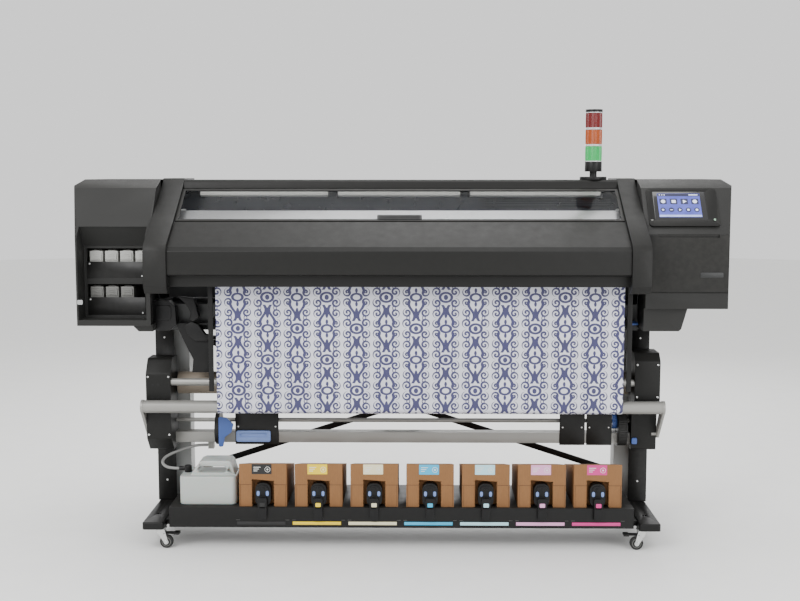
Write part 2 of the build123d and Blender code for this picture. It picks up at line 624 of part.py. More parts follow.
with BuildPart() as left_core:
    side_body(LEFT_COVER_IN, -1, LEFT_BOTTOM, COVER_TOP, SHEET)
    profile([(SIDE_FRONT, LEFT_BOTTOM), (BAY_BACK + SHEET, LEFT_BOTTOM),
             (BAY_BACK + SHEET, RECESS_DEEP_Z + SHEET), (BAY_FRONT + SHEET, RECESS_DEEP_Z + SHEET),
             (RECESS_MID_Y + SHEET, RECESS_TOP + SHEET), (SIDE_FRONT, RECESS_TOP + 2 * SHEET)],
            -HALF_WIDTH, BAY_X1 + 30, Mode.SUBTRACT)
    profile(CHEEK, LEFT_COVER_IN - SHEET, LEFT_COVER_IN, Mode.SUBTRACT)
with BuildPart() as left_cover:
    side_body(LEFT_COVER_IN, -1, LEFT_BOTTOM, COVER_TOP, 0)
    add(left_core.part, mode=Mode.SUBTRACT)
    profile([(SIDE_FRONT - 5, RECESS_BOTTOM), (BAY_FRONT, RECESS_BOTTOM), (BAY_FRONT, RECESS_DEEP_Z),
             (RECESS_MID_Y, RECESS_TOP), (SIDE_FRONT - 5, RECESS_TOP + 5)],
            RECESS_LEFT, RECESS_RIGHT, Mode.SUBTRACT)
    for low, high in zip(BAY_ROW_BOTTOMS, BAY_ROW_TOPS):
        box(BAY_X0, BAY_X1, BAY_FRONT, BAY_BACK, low, high, Mode.SUBTRACT)
    box(-1005, LEFT_COVER_IN, POD_FRONT, POD_BACK, LEFT_BOTTOM - 24, LEFT_BOTTOM)
    chamfer(left_cover.edges().filter_by(Axis.Y).group_by(Axis.Z)[0].sort_by(Axis.X)[0], 18)
save(left_cover, "left_cover")

PANEL_HEIGHTS = (63.0, 68.0)
with BuildPart() as cartridge_brackets:
    for low, height in zip(BAY_ROW_BOTTOMS, PANEL_HEIGHTS):
        box(BAY_X0, BAY_X1, BAY_FRONT, BAY_FRONT + SHEET, low, low + height)
        box(BAY_X0, BAY_X1, BAY_FRONT, BAY_BACK, low, low + SHEET)
save(cartridge_brackets, "cartridge_brackets")

tank_rows = ((4, BAY_ROW_BOTTOMS[0], 1106.0), (3, BAY_ROW_BOTTOMS[1], 970.0))
with BuildPart() as ink_tanks:
    for count, low, high in tank_rows:
        for i in range(count):
            x = TANK_FIRST_X + i * TANK_PITCH
            if x + TANK_WIDTH / 2 < BAY_X1:
                box(x - TANK_WIDTH / 2, x + TANK_WIDTH / 2, BAY_FRONT + 10, BAY_BACK - 3,
                    low + SHEET, high)
            else:
                box(x - TANK_WIDTH / 2, BAY_X1 - 1, BAY_FRONT + 10, BAY_BACK - 3,
                    low + SHEET, high)
save(ink_tanks, "ink_tanks")

DOOR_BACK = SIDE_DOOR_FRONT + SIDE_DOOR_THICK
BAY_DEPTH = -150.0
with BuildPart() as right_core:
    side_body(RIGHT_COVER_IN, 1, RIGHT_BOTTOM, COVER_TOP, SHEET)
    box(RIGHT_COVER_IN, HALF_WIDTH, SIDE_FRONT, BAY_DEPTH + SHEET, RIGHT_BOTTOM, SIDE_DOOR_TOP - 8,
        Mode.SUBTRACT)
    profile(CHEEK, RIGHT_COVER_IN, RIGHT_COVER_IN + SHEET, Mode.SUBTRACT)
with BuildPart() as right_cover:
    side_body(RIGHT_COVER_IN, 1, RIGHT_BOTTOM, COVER_TOP, 0)
    add(right_core.part, mode=Mode.SUBTRACT)
    box(SIDE_DOOR_LEFT - JOINT_GAP, HALF_WIDTH, SIDE_DOOR_FRONT - 1, DOOR_BACK + CLEAR,
        SIDE_DOOR_BOTTOM - JOINT_GAP, SIDE_DOOR_TOP + JOINT_GAP, Mode.SUBTRACT)
    box(SIDE_DOOR_LEFT + 25, SIDE_DOOR_RIGHT - 25, SIDE_DOOR_FRONT, BAY_DEPTH,
        SIDE_DOOR_BOTTOM + 25, SIDE_DOOR_TOP - 30, Mode.SUBTRACT)
    with BuildSketch(Plane.XZ.offset(-POD_BACK)):
        with BuildLine():
            Polyline((RIGHT_COVER_IN, RIGHT_BOTTOM), (RIGHT_COVER_IN, 812), (1037, 812),
                     (1046, 820), (1068, RIGHT_BOTTOM), close=True)
        make_face()
    extrude(amount=POD_BACK - POD_FRONT)
save(right_cover, "right_cover")

door_mid = (SIDE_DOOR_LEFT + SIDE_DOOR_RIGHT) / 2
with BuildPart() as service_door:
    box(SIDE_DOOR_LEFT, SIDE_DOOR_RIGHT, SIDE_DOOR_FRONT, DOOR_BACK, SIDE_DOOR_BOTTOM, SIDE_DOOR_TOP)
    fillet(service_door.edges().group_by(Axis.Y)[0], 3)
    box(door_mid - 112, door_mid + 112, SIDE_DOOR_FRONT, DOOR_BACK - 4,
        SIDE_DOOR_TOP - 10, SIDE_DOOR_TOP, Mode.SUBTRACT)
save(service_door, "service_door")

# the control panel lies on the slope of the right cover
panel_plane = Plane(origin=(PANEL_X, (SLOPE_HIGH[0] + SLOPE_LOW[0]) / 2,
                            (SLOPE_HIGH[1] + SLOPE_LOW[1]) / 2),
                    x_dir=(1, 0, 0),
                    z_dir=(0, SLOPE_LOW[1] - SLOPE_HIGH[1], SLOPE_HIGH[0] - SLOPE_LOW[0]))
with BuildPart() as control_panel:
    with BuildSketch(panel_plane):
        RectangleRounded(262, 172, 14)
    extrude(amount=7)
    with BuildSketch(panel_plane.offset(4)):
        with Locations((-10, 6)):
            RectangleRounded(196, 128, 3)
    extrude(amount=3, mode=Mode.SUBTRACT)
    with BuildSketch(panel_plane):
        with Locations((112, -58)):
            Circle(7 + CLEAR)
    extrude(amount=7, mode=Mode.SUBTRACT)
    with BuildSketch(panel_plane.offset(2)):
        with Locations((-119, -58)):
            RectangleRounded(13, 6, 1)
    extrude(amount=5, mode=Mode.SUBTRACT)
save(control_panel, "control_panel")

with BuildPart() as touch_screen:
    with BuildSketch(panel_plane.offset(4)):
        with Locations((-10, 6)):
            RectangleRounded(195.4, 127.4, 3)
    extrude(amount=2.6)
save(touch_screen, "touch_screen")

with BuildPart() as power_button:
    with BuildSketch(panel_plane.offset(2.5)):
        with Locations((112, -58)):
            Circle(7)
    extrude(amount=5.5)
    fillet(power_button.edges().filter_by(GeomType.CIRCLE).sort_by(Axis.Y)[0], 0.8)
save(power_button, "power_button")

ARCH_DEPTH = 36.0
arch_outer = [(175, BODY_TOP), (-28, BODY_TOP), (SLOPE_TOP_Y, SLOPE_TOP_Z + 10),
              (SLOPE_MID_Y - 8, SLOPE_MID_Z + 8), (SLOPE_END_Y - 8, SLOPE_END_Z + 10),
              (FRONT_Y, FACE_TOP), (FRONT_Y, 990), (FRONT_Y + 18, 964), (FRONT_Y + 58, 960)]
arch_inner = [(FRONT_Y + 58, 1090), (SLOPE_MID_Y + 14, SLOPE_MID_Z - 32),
              (SLOPE_TOP_Y + 4, 1308), (175, 1332)]
with BuildPart() as arch_covers:
    for outboard, inboard in ((ARCH_LEFT, BAY_LEFT), (ARCH_RIGHT, BAY_RIGHT)):
        low, high = sorted((outboard, inboard))
        profile(arch_outer + arch_inner, low, high)
    for outboard, inboard in ((ARCH_LEFT, BAY_LEFT - SHEET), (ARCH_RIGHT, BAY_RIGHT + SHEET)):
        low, high = sorted((outboard, inboard))
        with BuildSketch(Plane.YZ.offset(low)):
            with BuildLine():
                Polyline(*arch_outer, *arch_inner, close=True)
            make_face()
            offset(amount=-SHEET, mode=Mode.REPLACE)
        extrude(amount=high - low, mode=Mode.SUBTRACT)
save(arch_covers, "arch_covers")

bay_low = BAY_LEFT + JOINT_GAP
bay_high = BAY_RIGHT - JOINT_GAP
with BuildPart() as top_cover:
    bent([(SLOPE_TOP_Y + 8, SLOPE_TOP_Z + 1), (-52, COVER_TOP - 10), (-44, COVER_TOP - 2),
          (170, COVER_TOP - 2)], [3, 6], -SHEET, bay_low, bay_high)
save(top_cover, "top_cover")

with BuildPart() as rear_cover:
    bent([(178, BODY_TOP - 8), (215, BODY_TOP - 22), (228, 1200), (228, 1160)], [8, 8], -SHEET,
         LEFT_COVER_IN + 3, RIGHT_COVER_IN - 3)
save(rear_cover, "rear_cover")

with BuildPart() as curing_cover:
    bent([(SLOPE_MID_Y - 4, SLOPE_MID_Z - 3), (SLOPE_END_Y, SLOPE_END_Z), (FACE_Y, FACE_TOP),
          (FACE_Y, FACE_BOTTOM)], [6, 6], SHEET, bay_low, bay_high)
save(curing_cover, "curing_cover")

with BuildPart() as front_skirt:
    bent([(FACE_Y + 8, FACE_BOTTOM - 3), (SKIRT_Y, FACE_BOTTOM - 7), (SKIRT_Y, SKIRT_BOTTOM),
          (BAR_Y - BAR_R - 28, SKIRT_BOTTOM)], [4, 4], SHEET, bay_low, bay_high)
save(front_skirt, "front_skirt")

slope_dir = Vector(0, SLOPE_TOP_Y - SLOPE_MID_Y, SLOPE_TOP_Z - SLOPE_MID_Z)
window_plane = Plane(origin=((BAY_LEFT + BAY_RIGHT) / 2, (SLOPE_TOP_Y + SLOPE_MID_Y) / 2,
                             (SLOPE_TOP_Z + SLOPE_MID_Z) / 2),
                     x_dir=(1, 0, 0), z_dir=(0, -slope_dir.Z, slope_dir.Y))
window_width = BAY_RIGHT - BAY_LEFT - 2 * JOINT_GAP
window_height = slope_dir.length - 2 * JOINT_GAP
WINDOW_RIM = 12.0
with BuildPart() as window_frame:
    with BuildSketch(window_plane.offset(-WINDOW_THICK)):
        Rectangle(window_width, window_height)
        Rectangle(window_width - 2 * WINDOW_RIM, window_height - 2 * WINDOW_RIM,
                  mode=Mode.SUBTRACT)
        with Locations((GRIP_X - window_plane.origin.X, -window_height / 2 + 16)):
            Rectangle(GRIP_WIDTH, 32)
    extrude(amount=WINDOW_THICK)
    with BuildSketch(window_plane.offset(-WINDOW_THICK + 1)):
        with Locations((GRIP_X - window_plane.origin.X, -window_height / 2 + 14)):
            RectangleRounded(GRIP_WIDTH - 14, 18, 4)
    extrude(amount=WINDOW_THICK, mode=Mode.SUBTRACT)
save(window_frame, "window_frame")

with BuildPart() as window_pane:
    with BuildSketch(window_plane.offset(-WINDOW_THICK + 1)):
        Rectangle(window_width - 2 * WINDOW_RIM, window_height - 2 * WINDOW_RIM)
        with Locations((GRIP_X - window_plane.origin.X, -window_height / 2 + 16)):
            Rectangle(GRIP_WIDTH, 32, mode=Mode.SUBTRACT)
    extrude(amount=2.5)
save(window_pane, "window_pane")

# ---------------------------------------------------------------- signal tower
with BuildPart() as tower_base:
    for z, height, r in ((COVER_TOP - 2, 12, 52), (COVER_TOP + 10, 20, 14),
                         (COVER_TOP + 30, 38, TOWER_R)):
        with BuildSketch(Plane.XY.offset(z)):
            with Locations((TOWER_X, 0)):
                Circle(r)
        extrude(amount=height)
    with BuildSketch(Plane.XY.offset(TOWER_TOP - TOWER_CAP)):
        with Locations((TOWER_X, 0)):
            Circle(TOWER_R)
    extrude(amount=TOWER_CAP)
save(tower_base, "tower_base")
LENS_BOTTOM = COVER_TOP + 68
LENS_COUNT = 3
LENS_STEP = (TOWER_TOP - TOWER_CAP - LENS_BOTTOM) / LENS_COUNT
with BuildPart() as tower_lenses:
    for i in range(LENS_COUNT):
        with BuildSketch(Plane.XY.offset(LENS_BOTTOM + i * LENS_STEP)):
            with Locations((TOWER_X, 0)):
                Circle(TOWER_R)
                Circle(TOWER_R - SHEET, mode=Mode.SUBTRACT)
        extrude(amount=LENS_STEP)
save(tower_lenses, "tower_lenses")

# ================================================================ paper path and take-up
# the web runs from the supply roll over the platen, down the front, under the tension bar
# and on to the reel; its last run is the line that touches both bar and reel from below
bar_wrap = BAR_R + CLEAR
reel_wrap = REEL_R + CLEAR
last_slope = (atan2(REEL_Z - BAR_Z, REEL_Y - BAR_Y)
              - asin((reel_wrap - bar_wrap) / hypot(REEL_Z - BAR_Z, REEL_Y - BAR_Y)))
reel_touch = (REEL_Y + reel_wrap * sin(last_slope), REEL_Z - reel_wrap * cos(last_slope))
front_run_y = BAR_Y - bar_wrap
web_path = [
    (SUPPLY_ROLL_Y + SUPPLY_ROLL_R + CLEAR, SUPPLY_ROLL_Z),
    (SUPPLY_ROLL_Y + SUPPLY_ROLL_R + CLEAR, 860),
    (PLATEN_BACK + 60, PLATEN_TOP + CLEAR),
    (PLATEN_FRONT - 12, PLATEN_TOP + CLEAR),
    (front_run_y, 1010),
    (front_run_y, reel_touch[1] - (reel_touch[0] - front_run_y) * tan(last_slope)),
    reel_touch,
]
with BuildPart() as media_web:
    bent(web_path, [60, 40, 30, 60, bar_wrap], -WEB_THICK, WEB_LEFT, WEB_RIGHT)
save(media_web, "media_web")

with BuildPart() as supply_roll:
    rod(WEB_LEFT, WEB_RIGHT, SUPPLY_ROLL_Y, SUPPLY_ROLL_Z, SUPPLY_ROLL_R)
    rod(WEB_LEFT, WEB_RIGHT, SUPPLY_ROLL_Y, SUPPLY_ROLL_Z, CORE_R, Mode.SUBTRACT)
save(supply_roll, "supply_roll")

with BuildPart() as roll_spindle:
    rod(-SPINDLE_IN, SPINDLE_IN, SUPPLY_ROLL_Y, SUPPLY_ROLL_Z, SPINDLE_R)
    for x in (WEB_LEFT - 1, WEB_RIGHT - 60):
        rod(x, x + 61, SUPPLY_ROLL_Y, SUPPLY_ROLL_Z, CORE_R)
    for x in (WEB_LEFT - 15, WEB_RIGHT + 1):
        rod(x, x + 14, SUPPLY_ROLL_Y, SUPPLY_ROLL_Z, FLANGE_R)
save(roll_spindle, "roll_spindle")

gland_x = HOSE_POINTS[-1][0]
gland_y = HOSE_POINTS[-1][1]
with BuildPart() as takeup_bars:
    beam_left = HOUSING_LEFT_IN
    beam_right = HOUSING_RIGHT_IN
    box(beam_left, beam_right, BEAM_FRONT, BEAM_BACK, BEAM_BOTTOM, BEAM_TOP)
    box(beam_left, beam_right, BEAM_FRONT + SHEET, BEAM_BACK - SHEET,
        BEAM_BOTTOM + SHEET, BEAM_TOP - SHEET, Mode.SUBTRACT)
    box(gland_x, gland_x + 22, gland_y - 14, gland_y + 14, HOSE_POINTS[-1][2] - 12, BEAM_BOTTOM)
    rod(beam_left - 20, beam_right + 20, GUIDE_Y, GUIDE_Z, 6)
    rod(beam_left, beam_right, GUIDE_Y, GUIDE_Z, GUIDE_R)
    rod(beam_left, beam_right, HUB_Y, TIE_BAR_Z, TIE_BAR_R)
save(takeup_bars, "takeup_bars")

HOUSING_BACK = -88.0
HOUSING_FRONT = -232.0
with BuildPart() as left_housing:
    with BuildSketch(Plane.YZ.offset(HOUSING_LEFT_X)):
        with BuildLine():
            FilletPolyline((HOUSING_BACK, 340), (HOUSING_FRONT + 50, 336), (HOUSING_FRONT, 390),
                           (HOUSING_FRONT, 640), (HOUSING_FRONT + 40, 694), (HOUSING_BACK, 694),
                           radius=18, close=True)
        make_face()
    extrude(amount=HOUSING_LEFT_IN - HOUSING_LEFT_X)
    rod(HOUSING_LEFT_IN - 20, HOUSING_LEFT_IN, REEL_Y, REEL_Z, 12 + RUNNING, Mode.SUBTRACT)
    rod(HOUSING_LEFT_IN - 20, HOUSING_LEFT_IN, GUIDE_Y, GUIDE_Z, 6, Mode.SUBTRACT)
    rod(HOUSING_LEFT_X, HOUSING_LEFT_X + 20, PIVOT_Y, PIVOT_Z, 8 + RUNNING, Mode.SUBTRACT)
save(left_housing, "left_housing")

with BuildPart() as drive_housing:
    with BuildSketch(Plane.YZ.offset(HOUSING_RIGHT_IN)):
        with BuildLine():
            FilletPolyline((HOUSING_BACK, 340), (HOUSING_FRONT + 60, 336), (HOUSING_FRONT + 50, 520),
                           (HOUSING_FRONT, 540), (HOUSING_FRONT, 690), (HOUSING_FRONT + 30, 720),
                           (HOUSING_BACK, 720), radius=10, close=True)
        make_face()
    extrude(amount=HOUSING_RIGHT_X - HOUSING_RIGHT_IN)
    rod(HOUSING_RIGHT_IN, HOUSING_RIGHT_IN + 20, REEL_Y, REEL_Z, 12 + RUNNING, Mode.SUBTRACT)
    rod(HOUSING_RIGHT_IN, HOUSING_RIGHT_IN + 20, GUIDE_Y, GUIDE_Z, 6, Mode.SUBTRACT)
    rod(HOUSING_RIGHT_X - 20, HOUSING_RIGHT_X, PIVOT_Y, PIVOT_Z, 8 + RUNNING, Mode.SUBTRACT)
save(drive_housing, "drive_housing")

with BuildPart() as takeup_reel:
    rod(HOUSING_LEFT_IN - 18, HOUSING_RIGHT_IN + 18, REEL_Y, REEL_Z, 12)
    rod(HOUSING_LEFT_IN + 8, HOUSING_RIGHT_IN - 8, REEL_Y, REEL_Z, REEL_R)
save(takeup_reel, "takeup_reel")

ARM_GAP = 1.0
ARM_THICK = 10.0
with BuildPart() as tension_bar:
    arm_left = HOUSING_LEFT_X - ARM_GAP - ARM_THICK
    arm_right = HOUSING_RIGHT_X + ARM_GAP
    rod(arm_left, arm_right + ARM_THICK, BAR_Y, BAR_Z, BAR_R)
    rod(arm_left + ARM_THICK, arm_right, BAR_Y, BAR_Z, BAR_R - SHEET, Mode.SUBTRACT)
    for x in (arm_left, arm_right):
        with BuildSketch(Plane.YZ.offset(x)):
            with Locations((BAR_Y, BAR_Z)):
                Circle(26)
            with Locations((PIVOT_Y, PIVOT_Z)):
                Circle(15)
            with BuildLine():
                Polyline((BAR_Y - 22, BAR_Z - 12), (PIVOT_Y - 12, PIVOT_Z - 8),
                         (PIVOT_Y + 12, PIVOT_Z + 8), (BAR_Y + 20, BAR_Z + 14), close=True)
            make_face()
        extrude(amount=ARM_THICK)
    rod(arm_left, HOUSING_LEFT_X + 18, PIVOT_Y, PIVOT_Z, 8)
    rod(HOUSING_RIGHT_X - 18, arm_right + ARM_THICK, PIVOT_Y, PIVOT_Z, 8)
save(tension_bar, "tension_bar")

with BuildPart() as takeup_hubs:
    for x, half in ((HUB_LEFT_X, 8), (HUB_RIGHT_X, 18)):
        rod(x - half, x + half, HUB_Y, HUB_Z, HUB_R)
        box(x - half, x + half, BEAM_FRONT, BEAM_BACK, BEAM_BOTTOM, BEAM_TOP, Mode.SUBTRACT)
        rod(x - half, x + half, HUB_Y, TIE_BAR_Z, TIE_BAR_R, Mode.SUBTRACT)
    box(HUB_LEFT_X + 8, LEVER_X + 12, LEVER_BOSS_FRONT, BEAM_FRONT, HUB_Z - 12, HUB_Z + 12)
    with BuildSketch(Plane.XZ.offset(-LEVER_BOSS_FRONT)):
        with Locations((LEVER_X, HUB_Z)):
            Circle(LEVER_PIN_R + RUNNING)
    extrude(amount=-20, mode=Mode.SUBTRACT)
save(takeup_hubs, "takeup_hubs")

with BuildPart() as hub_lever:
    with BuildSketch(Plane.XZ.offset(-LEVER_BOSS_FRONT + LEVER_GAP)):
        with BuildLine():
            FilletPolyline((LEVER_X - 9, 468), (LEVER_X + 22, 464), (LEVER_X + 48, 438),
                           (LEVER_X + 40, 408), (LEVER_X + 14, 388), (LEVER_X + 8, 352),
                           (LEVER_X - 9, 350), radius=6, close=True)
        make_face()
    extrude(amount=9)
    with BuildSketch(Plane.XZ.offset(-LEVER_BOSS_FRONT + LEVER_GAP)):
        with Locations((LEVER_X, HUB_Z)):
            Circle(LEVER_PIN_R)
    extrude(amount=-18)
save(hub_lever, "hub_lever")

# edge strips beside the web, curved plates behind them, and the boards below the web
with BuildPart() as web_guides:
    for x, inner in ((WEB_LEFT - 28, WEB_LEFT - 10), (WEB_RIGHT + 10, WEB_RIGHT + 28)):
        box(x, inner, BAR_Y - BAR_R - 8, BAR_Y - BAR_R, 585, 980)
        box(x, inner, BAR_Y - BAR_R, CHASSIS_FRONT, 820, 850)
    for low, high in ((-647, -478), (612, 710), (716, 814)):
        box(low, high, BEAM_FRONT - SHEET, BEAM_FRONT, 350, 486)
    for near, far in ((WEB_LEFT - 28, WEB_LEFT - 150),):
        with BuildSketch(Plane.XZ.offset(-CHASSIS_FRONT + 30)):
            with BuildLine():
                Polyline((near, 640), (near, 760), (far + 60, 800), (far + 20, 828),
                         (far - 20, 828), (far + 10, 760), (far + 45, 690), (far + 40, 640),
                         close=True)
            make_face()
        extrude(amount=4)
        box(far - 10, near, CHASSIS_FRONT - 34, CHASSIS_FRONT, 824, 830)
save(web_guides, "web_guides")
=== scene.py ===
"""Visual model of the wide-format roll printer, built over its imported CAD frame.

Metres and the frame's own axes throughout: +X right, -Y front, +Z up. Positions in the
tables are in millimetres and pass through mm().
"""

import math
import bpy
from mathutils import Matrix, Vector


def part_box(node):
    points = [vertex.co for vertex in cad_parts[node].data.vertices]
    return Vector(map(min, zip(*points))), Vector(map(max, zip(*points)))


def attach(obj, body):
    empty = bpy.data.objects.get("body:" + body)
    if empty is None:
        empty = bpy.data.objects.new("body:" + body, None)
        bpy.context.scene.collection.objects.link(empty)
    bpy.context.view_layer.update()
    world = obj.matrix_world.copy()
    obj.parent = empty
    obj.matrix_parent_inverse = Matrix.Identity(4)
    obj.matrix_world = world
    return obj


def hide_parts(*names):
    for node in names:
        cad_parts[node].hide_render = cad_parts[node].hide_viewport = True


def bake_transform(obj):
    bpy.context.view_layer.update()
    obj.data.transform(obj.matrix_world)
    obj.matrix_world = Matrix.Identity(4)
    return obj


bl_info = {
    "name": "Wide-format roll printer",
    "version": (1, 0, 0),
    "blender": (4, 5, 0),
    "location": "3D View > Sidebar > Roll printer",
    "description": "Builds the printer's visual pieces, finishes and studio over its CAD frame",
    "category": "Add Mesh",
}

import bmesh
import bpy
from mathutils import Vector

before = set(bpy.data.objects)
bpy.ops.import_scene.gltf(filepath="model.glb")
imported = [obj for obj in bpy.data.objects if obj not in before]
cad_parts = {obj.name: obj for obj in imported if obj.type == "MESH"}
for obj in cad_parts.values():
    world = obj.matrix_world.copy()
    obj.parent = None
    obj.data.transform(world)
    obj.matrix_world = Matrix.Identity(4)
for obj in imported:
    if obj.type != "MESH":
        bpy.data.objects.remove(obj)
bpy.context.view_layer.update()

MM = 0.001
COLOURS = ("141414", "e2c318", "d9d2b0", "2fa6cf", "a9d3dd", "d99bc4", "c6307f")
SUPPLY_FIRST_X = -515.5
SUPPLY_PITCH = 208.0
SUPPLY_BACK = -68.0
PANEL_ORIGIN = (1052.0, -215.0, 1270.0)
PANEL_UP = (0.0, 0.5965, 0.8026)
PANEL_OUT = (0.0, -0.8026, 0.5965)
WEB_LEFT = -693.0
WEB_RIGHT = 831.0
SUPPLY_AXIS = (0.300, 0.700)


# ------------------------------------------------------------------ numbers and shapes
def mm(*values):
    """Millimetres as a vector in metres."""
    return Vector(values) * MM


def linear(code, gain=1.0):
    """A six-digit sRGB colour as linear RGBA."""
    parts = [int(code[i:i + 2], 16) / 255 for i in (0, 2, 4)]
    parts = [((c + 0.055) / 1.055) ** 2.4 if c > 0.04045 else c / 12.92 for c in parts]
    return tuple(min(1.0, c * gain) for c in parts) + (1.0,)


def rounded(cx, cy, width, height, radius, steps=5):
    """The outline of a rectangle with round corners."""
    points = []
    for quarter, (sx, sy) in enumerate(((1, 1), (-1, 1), (-1, -1), (1, -1))):
        mid_x = cx + sx * (width / 2 - radius)
        mid_y = cy + sy * (height / 2 - radius)
        for i in range(steps + 1):
            angle = math.pi / 2 * (quarter + i / steps)
            points.append((mid_x + radius * math.cos(angle), mid_y + radius * math.sin(angle)))
    return points


def circle(cx, cy, radius, steps=32):
    """The outline of a disc."""
    return [(cx + radius * math.cos(math.tau * i / steps), cy + radius * math.sin(math.tau * i / steps))
            for i in range(steps)]


def loft(bm, rows, material=0, caps=True):
    """Faces between closed rows of points, with the first and last row filled."""
    rings = [[bm.verts.new(point) for point in row] for row in rows]
    count = len(rings[0])
    for ring, after in zip(rings, rings[1:]):
        for i in range(count):
            j = (i + 1) % count
            bm.faces.new((ring[i], ring[j], after[j], after[i])).material_index = material
    if caps:
        for ring in (rings[0], rings[-1]):
            bm.faces.new(ring).material_index = material


def prism(bm, outline, low, high, axis="X", material=0):
    """An outline pushed along an axis. X takes (y, z), Y takes (x, z) and Z takes (x, y)."""
    place = {"X": lambda t, a, b: mm(t, a, b), "Y": lambda t, a, b: mm(a, t, b),
             "Z": lambda t, a, b: mm(a, b, t)}[axis]
    loft(bm, [[place(t, a, b) for a, b in outline] for t in (low, high)], material)


def block(bm, x0, x1, y0, y1, z0, z1, material=0):
    """A block between two corners."""
    prism(bm, [(y0, z0), (y1, z0), (y1, z1), (y0, z1)], x0, x1, "X", material)


def turned(bm, rings, a, b, axis="X", steps=48, material=0, rib=0.0, caps=True):
    """A turned shape: rings of (place, radius) along an axis; rib lowers every other step."""
    rows = []
    for t, radius in rings:
        row = []
        for i in range(steps):
            r = radius - (rib if i % 2 else 0.0)
            u = a + r * math.cos(math.tau * i / steps)
            w = b + r * math.sin(math.tau * i / steps)
            row.append({"X": mm(t, u, w), "Y": mm(u, t, w), "Z": mm(u, w, t)}[axis])
        rows.append(row)
    loft(bm, rows, material, caps)


def on_panel(u, v, w):
    """A point of the sloping control panel: right, up the slope and out of it."""
    return Vector((PANEL_ORIGIN[0] + u,
                   PANEL_ORIGIN[1] + v * PANEL_UP[1] + w * PANEL_OUT[1],
                   PANEL_ORIGIN[2] + v * PANEL_UP[2] + w * PANEL_OUT[2])) * MM


def panel_plate(bm, outline, low, high, material=0):
    """An outline on the control panel, from one height above it to another."""
    loft(bm, [[on_panel(u, v, w) for u, v in outline] for w in (low, high)], material)


def settle(piece):
    """Makes a piece's modifiers part of its mesh."""
    depsgraph = bpy.context.evaluated_depsgraph_get()
    old = piece.data
    made = bpy.data.meshes.new_from_object(piece.evaluated_get(depsgraph))
    piece.modifiers.clear()
    piece.data = made
    bpy.data.meshes.remove(old)


def smooth(mesh, degrees=35.0):
    """Smooth shading with creases kept."""
    mesh.shade_smooth()
    mesh.set_sharp_from_angle(angle=math.radians(degrees))


def piece(name, bm, body, slot, finishes, bevel=0.0, cutter=None, stands_for=()):
    """A finished piece: cut, edges rounded, shaded, riding on its body."""
    bmesh.ops.recalc_face_normals(bm, faces=bm.faces)
    mesh = bpy.data.meshes.new(name)
    bm.to_mesh(mesh)
    bm.free()
    made = bpy.data.objects.new(name, mesh)
    bpy.context.scene.collection.objects.link(made)
    for finish in finishes:
        mesh.materials.append(finish)
    if cutter is not None:
        bmesh.ops.recalc_face_normals(cutter, faces=cutter.faces)
        tool_mesh = bpy.data.meshes.new(name + "_cut")
        cutter.to_mesh(tool_mesh)
        cutter.free()
        tool = bpy.data.objects.new(name + "_cut", tool_mesh)
        bpy.context.scene.collection.objects.link(tool)
        cut = made.modifiers.new("cut", "BOOLEAN")
        cut.operation = "DIFFERENCE"
        cut.solver = "EXACT"
        cut.object = tool
        settle(made)
        bpy.data.objects.remove(tool)
    if bevel:
        edge = made.modifiers.new("edge", "BEVEL")
        edge.width = bevel * MM
        edge.segments = 3
        edge.limit_method = "ANGLE"
        edge.angle_limit = math.radians(40)
        settle(made)
    smooth(made.data)
    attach(made, body)
    if stands_for:
        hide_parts(*stands_for)
    return made


# ------------------------------------------------------------------ finishes
class Field:
    """A number worked out by Math nodes, so that a pattern reads like arithmetic."""

    def __init__(self, tree, socket):
        self.tree = tree
        self.socket = socket

    def op(self, operation, *others):
        node = self.tree.nodes.new("ShaderNodeMath")
        node.operation = operation
        for socket, value in zip(node.inputs, (self,) + others):
            feed(self.tree, socket, value)
        return Field(self.tree, node.outputs[0])

    def __add__(self, other):
        return self.op("ADD", other)

    def __sub__(self, other):
        return self.op("SUBTRACT", other)

    def __mul__(self, other):
        return self.op("MULTIPLY", other)

    def __truediv__(self, other):
        return self.op("DIVIDE", other)

    def between(self, low, high):
        """1 where the number lies between low and high."""
        return self.op("GREATER_THAN", low) * self.op("LESS_THAN", high)

    def clamped(self):
        return self.op("MAXIMUM", 0.0).op("MINIMUM", 1.0)


def feed(tree, socket, value):
    """Links a field or a socket into a socket, or sets its value."""
    if isinstance(value, Field):
        value = value.socket
    if isinstance(value, bpy.types.NodeSocket):
        tree.links.new(value, socket)
    else:
        socket.default_value = value


def mixed(tree, factor, first, second):
    """A colour between two colours."""
    node = tree.nodes.new("ShaderNodeMix")
    node.data_type = "RGBA"
    for index, value in ((0, factor), (6, first), (7, second)):
        feed(tree, node.inputs[index], value)
    return node.outputs[2]


def noise(tree, place, scale, detail=3.0, stretch=(1.0, 1.0, 1.0)):
    """Noise at a scale per metre, stretched along the axes."""
    mapping = tree.nodes.new("ShaderNodeMapping")
    mapping.inputs["Scale"].default_value = stretch
    tree.links.new(place, mapping.inputs["Vector"])
    node = tree.nodes.new("ShaderNodeTexNoise")
    node.inputs["Scale"].default_value = scale
    node.inputs["Detail"].default_value = detail
    tree.links.new(mapping.outputs["Vector"], node.inputs["Vector"])
    return Field(tree, node.outputs["Fac"])


def xyz(tree, socket):
    """The three numbers of a vector."""
    node = tree.nodes.new("ShaderNodeSeparateXYZ")
    tree.links.new(socket, node.inputs[0])
    return [Field(tree, output) for output in node.outputs]


def start(name):
    """A new material's tree, shader and place on the object."""
    finish = bpy.data.materials.new(name)
    finish.use_nodes = True
    tree = finish.node_tree
    place = tree.nodes.new("ShaderNodeTexCoord").outputs["Object"]
    return finish, tree, tree.nodes["Principled BSDF"], place


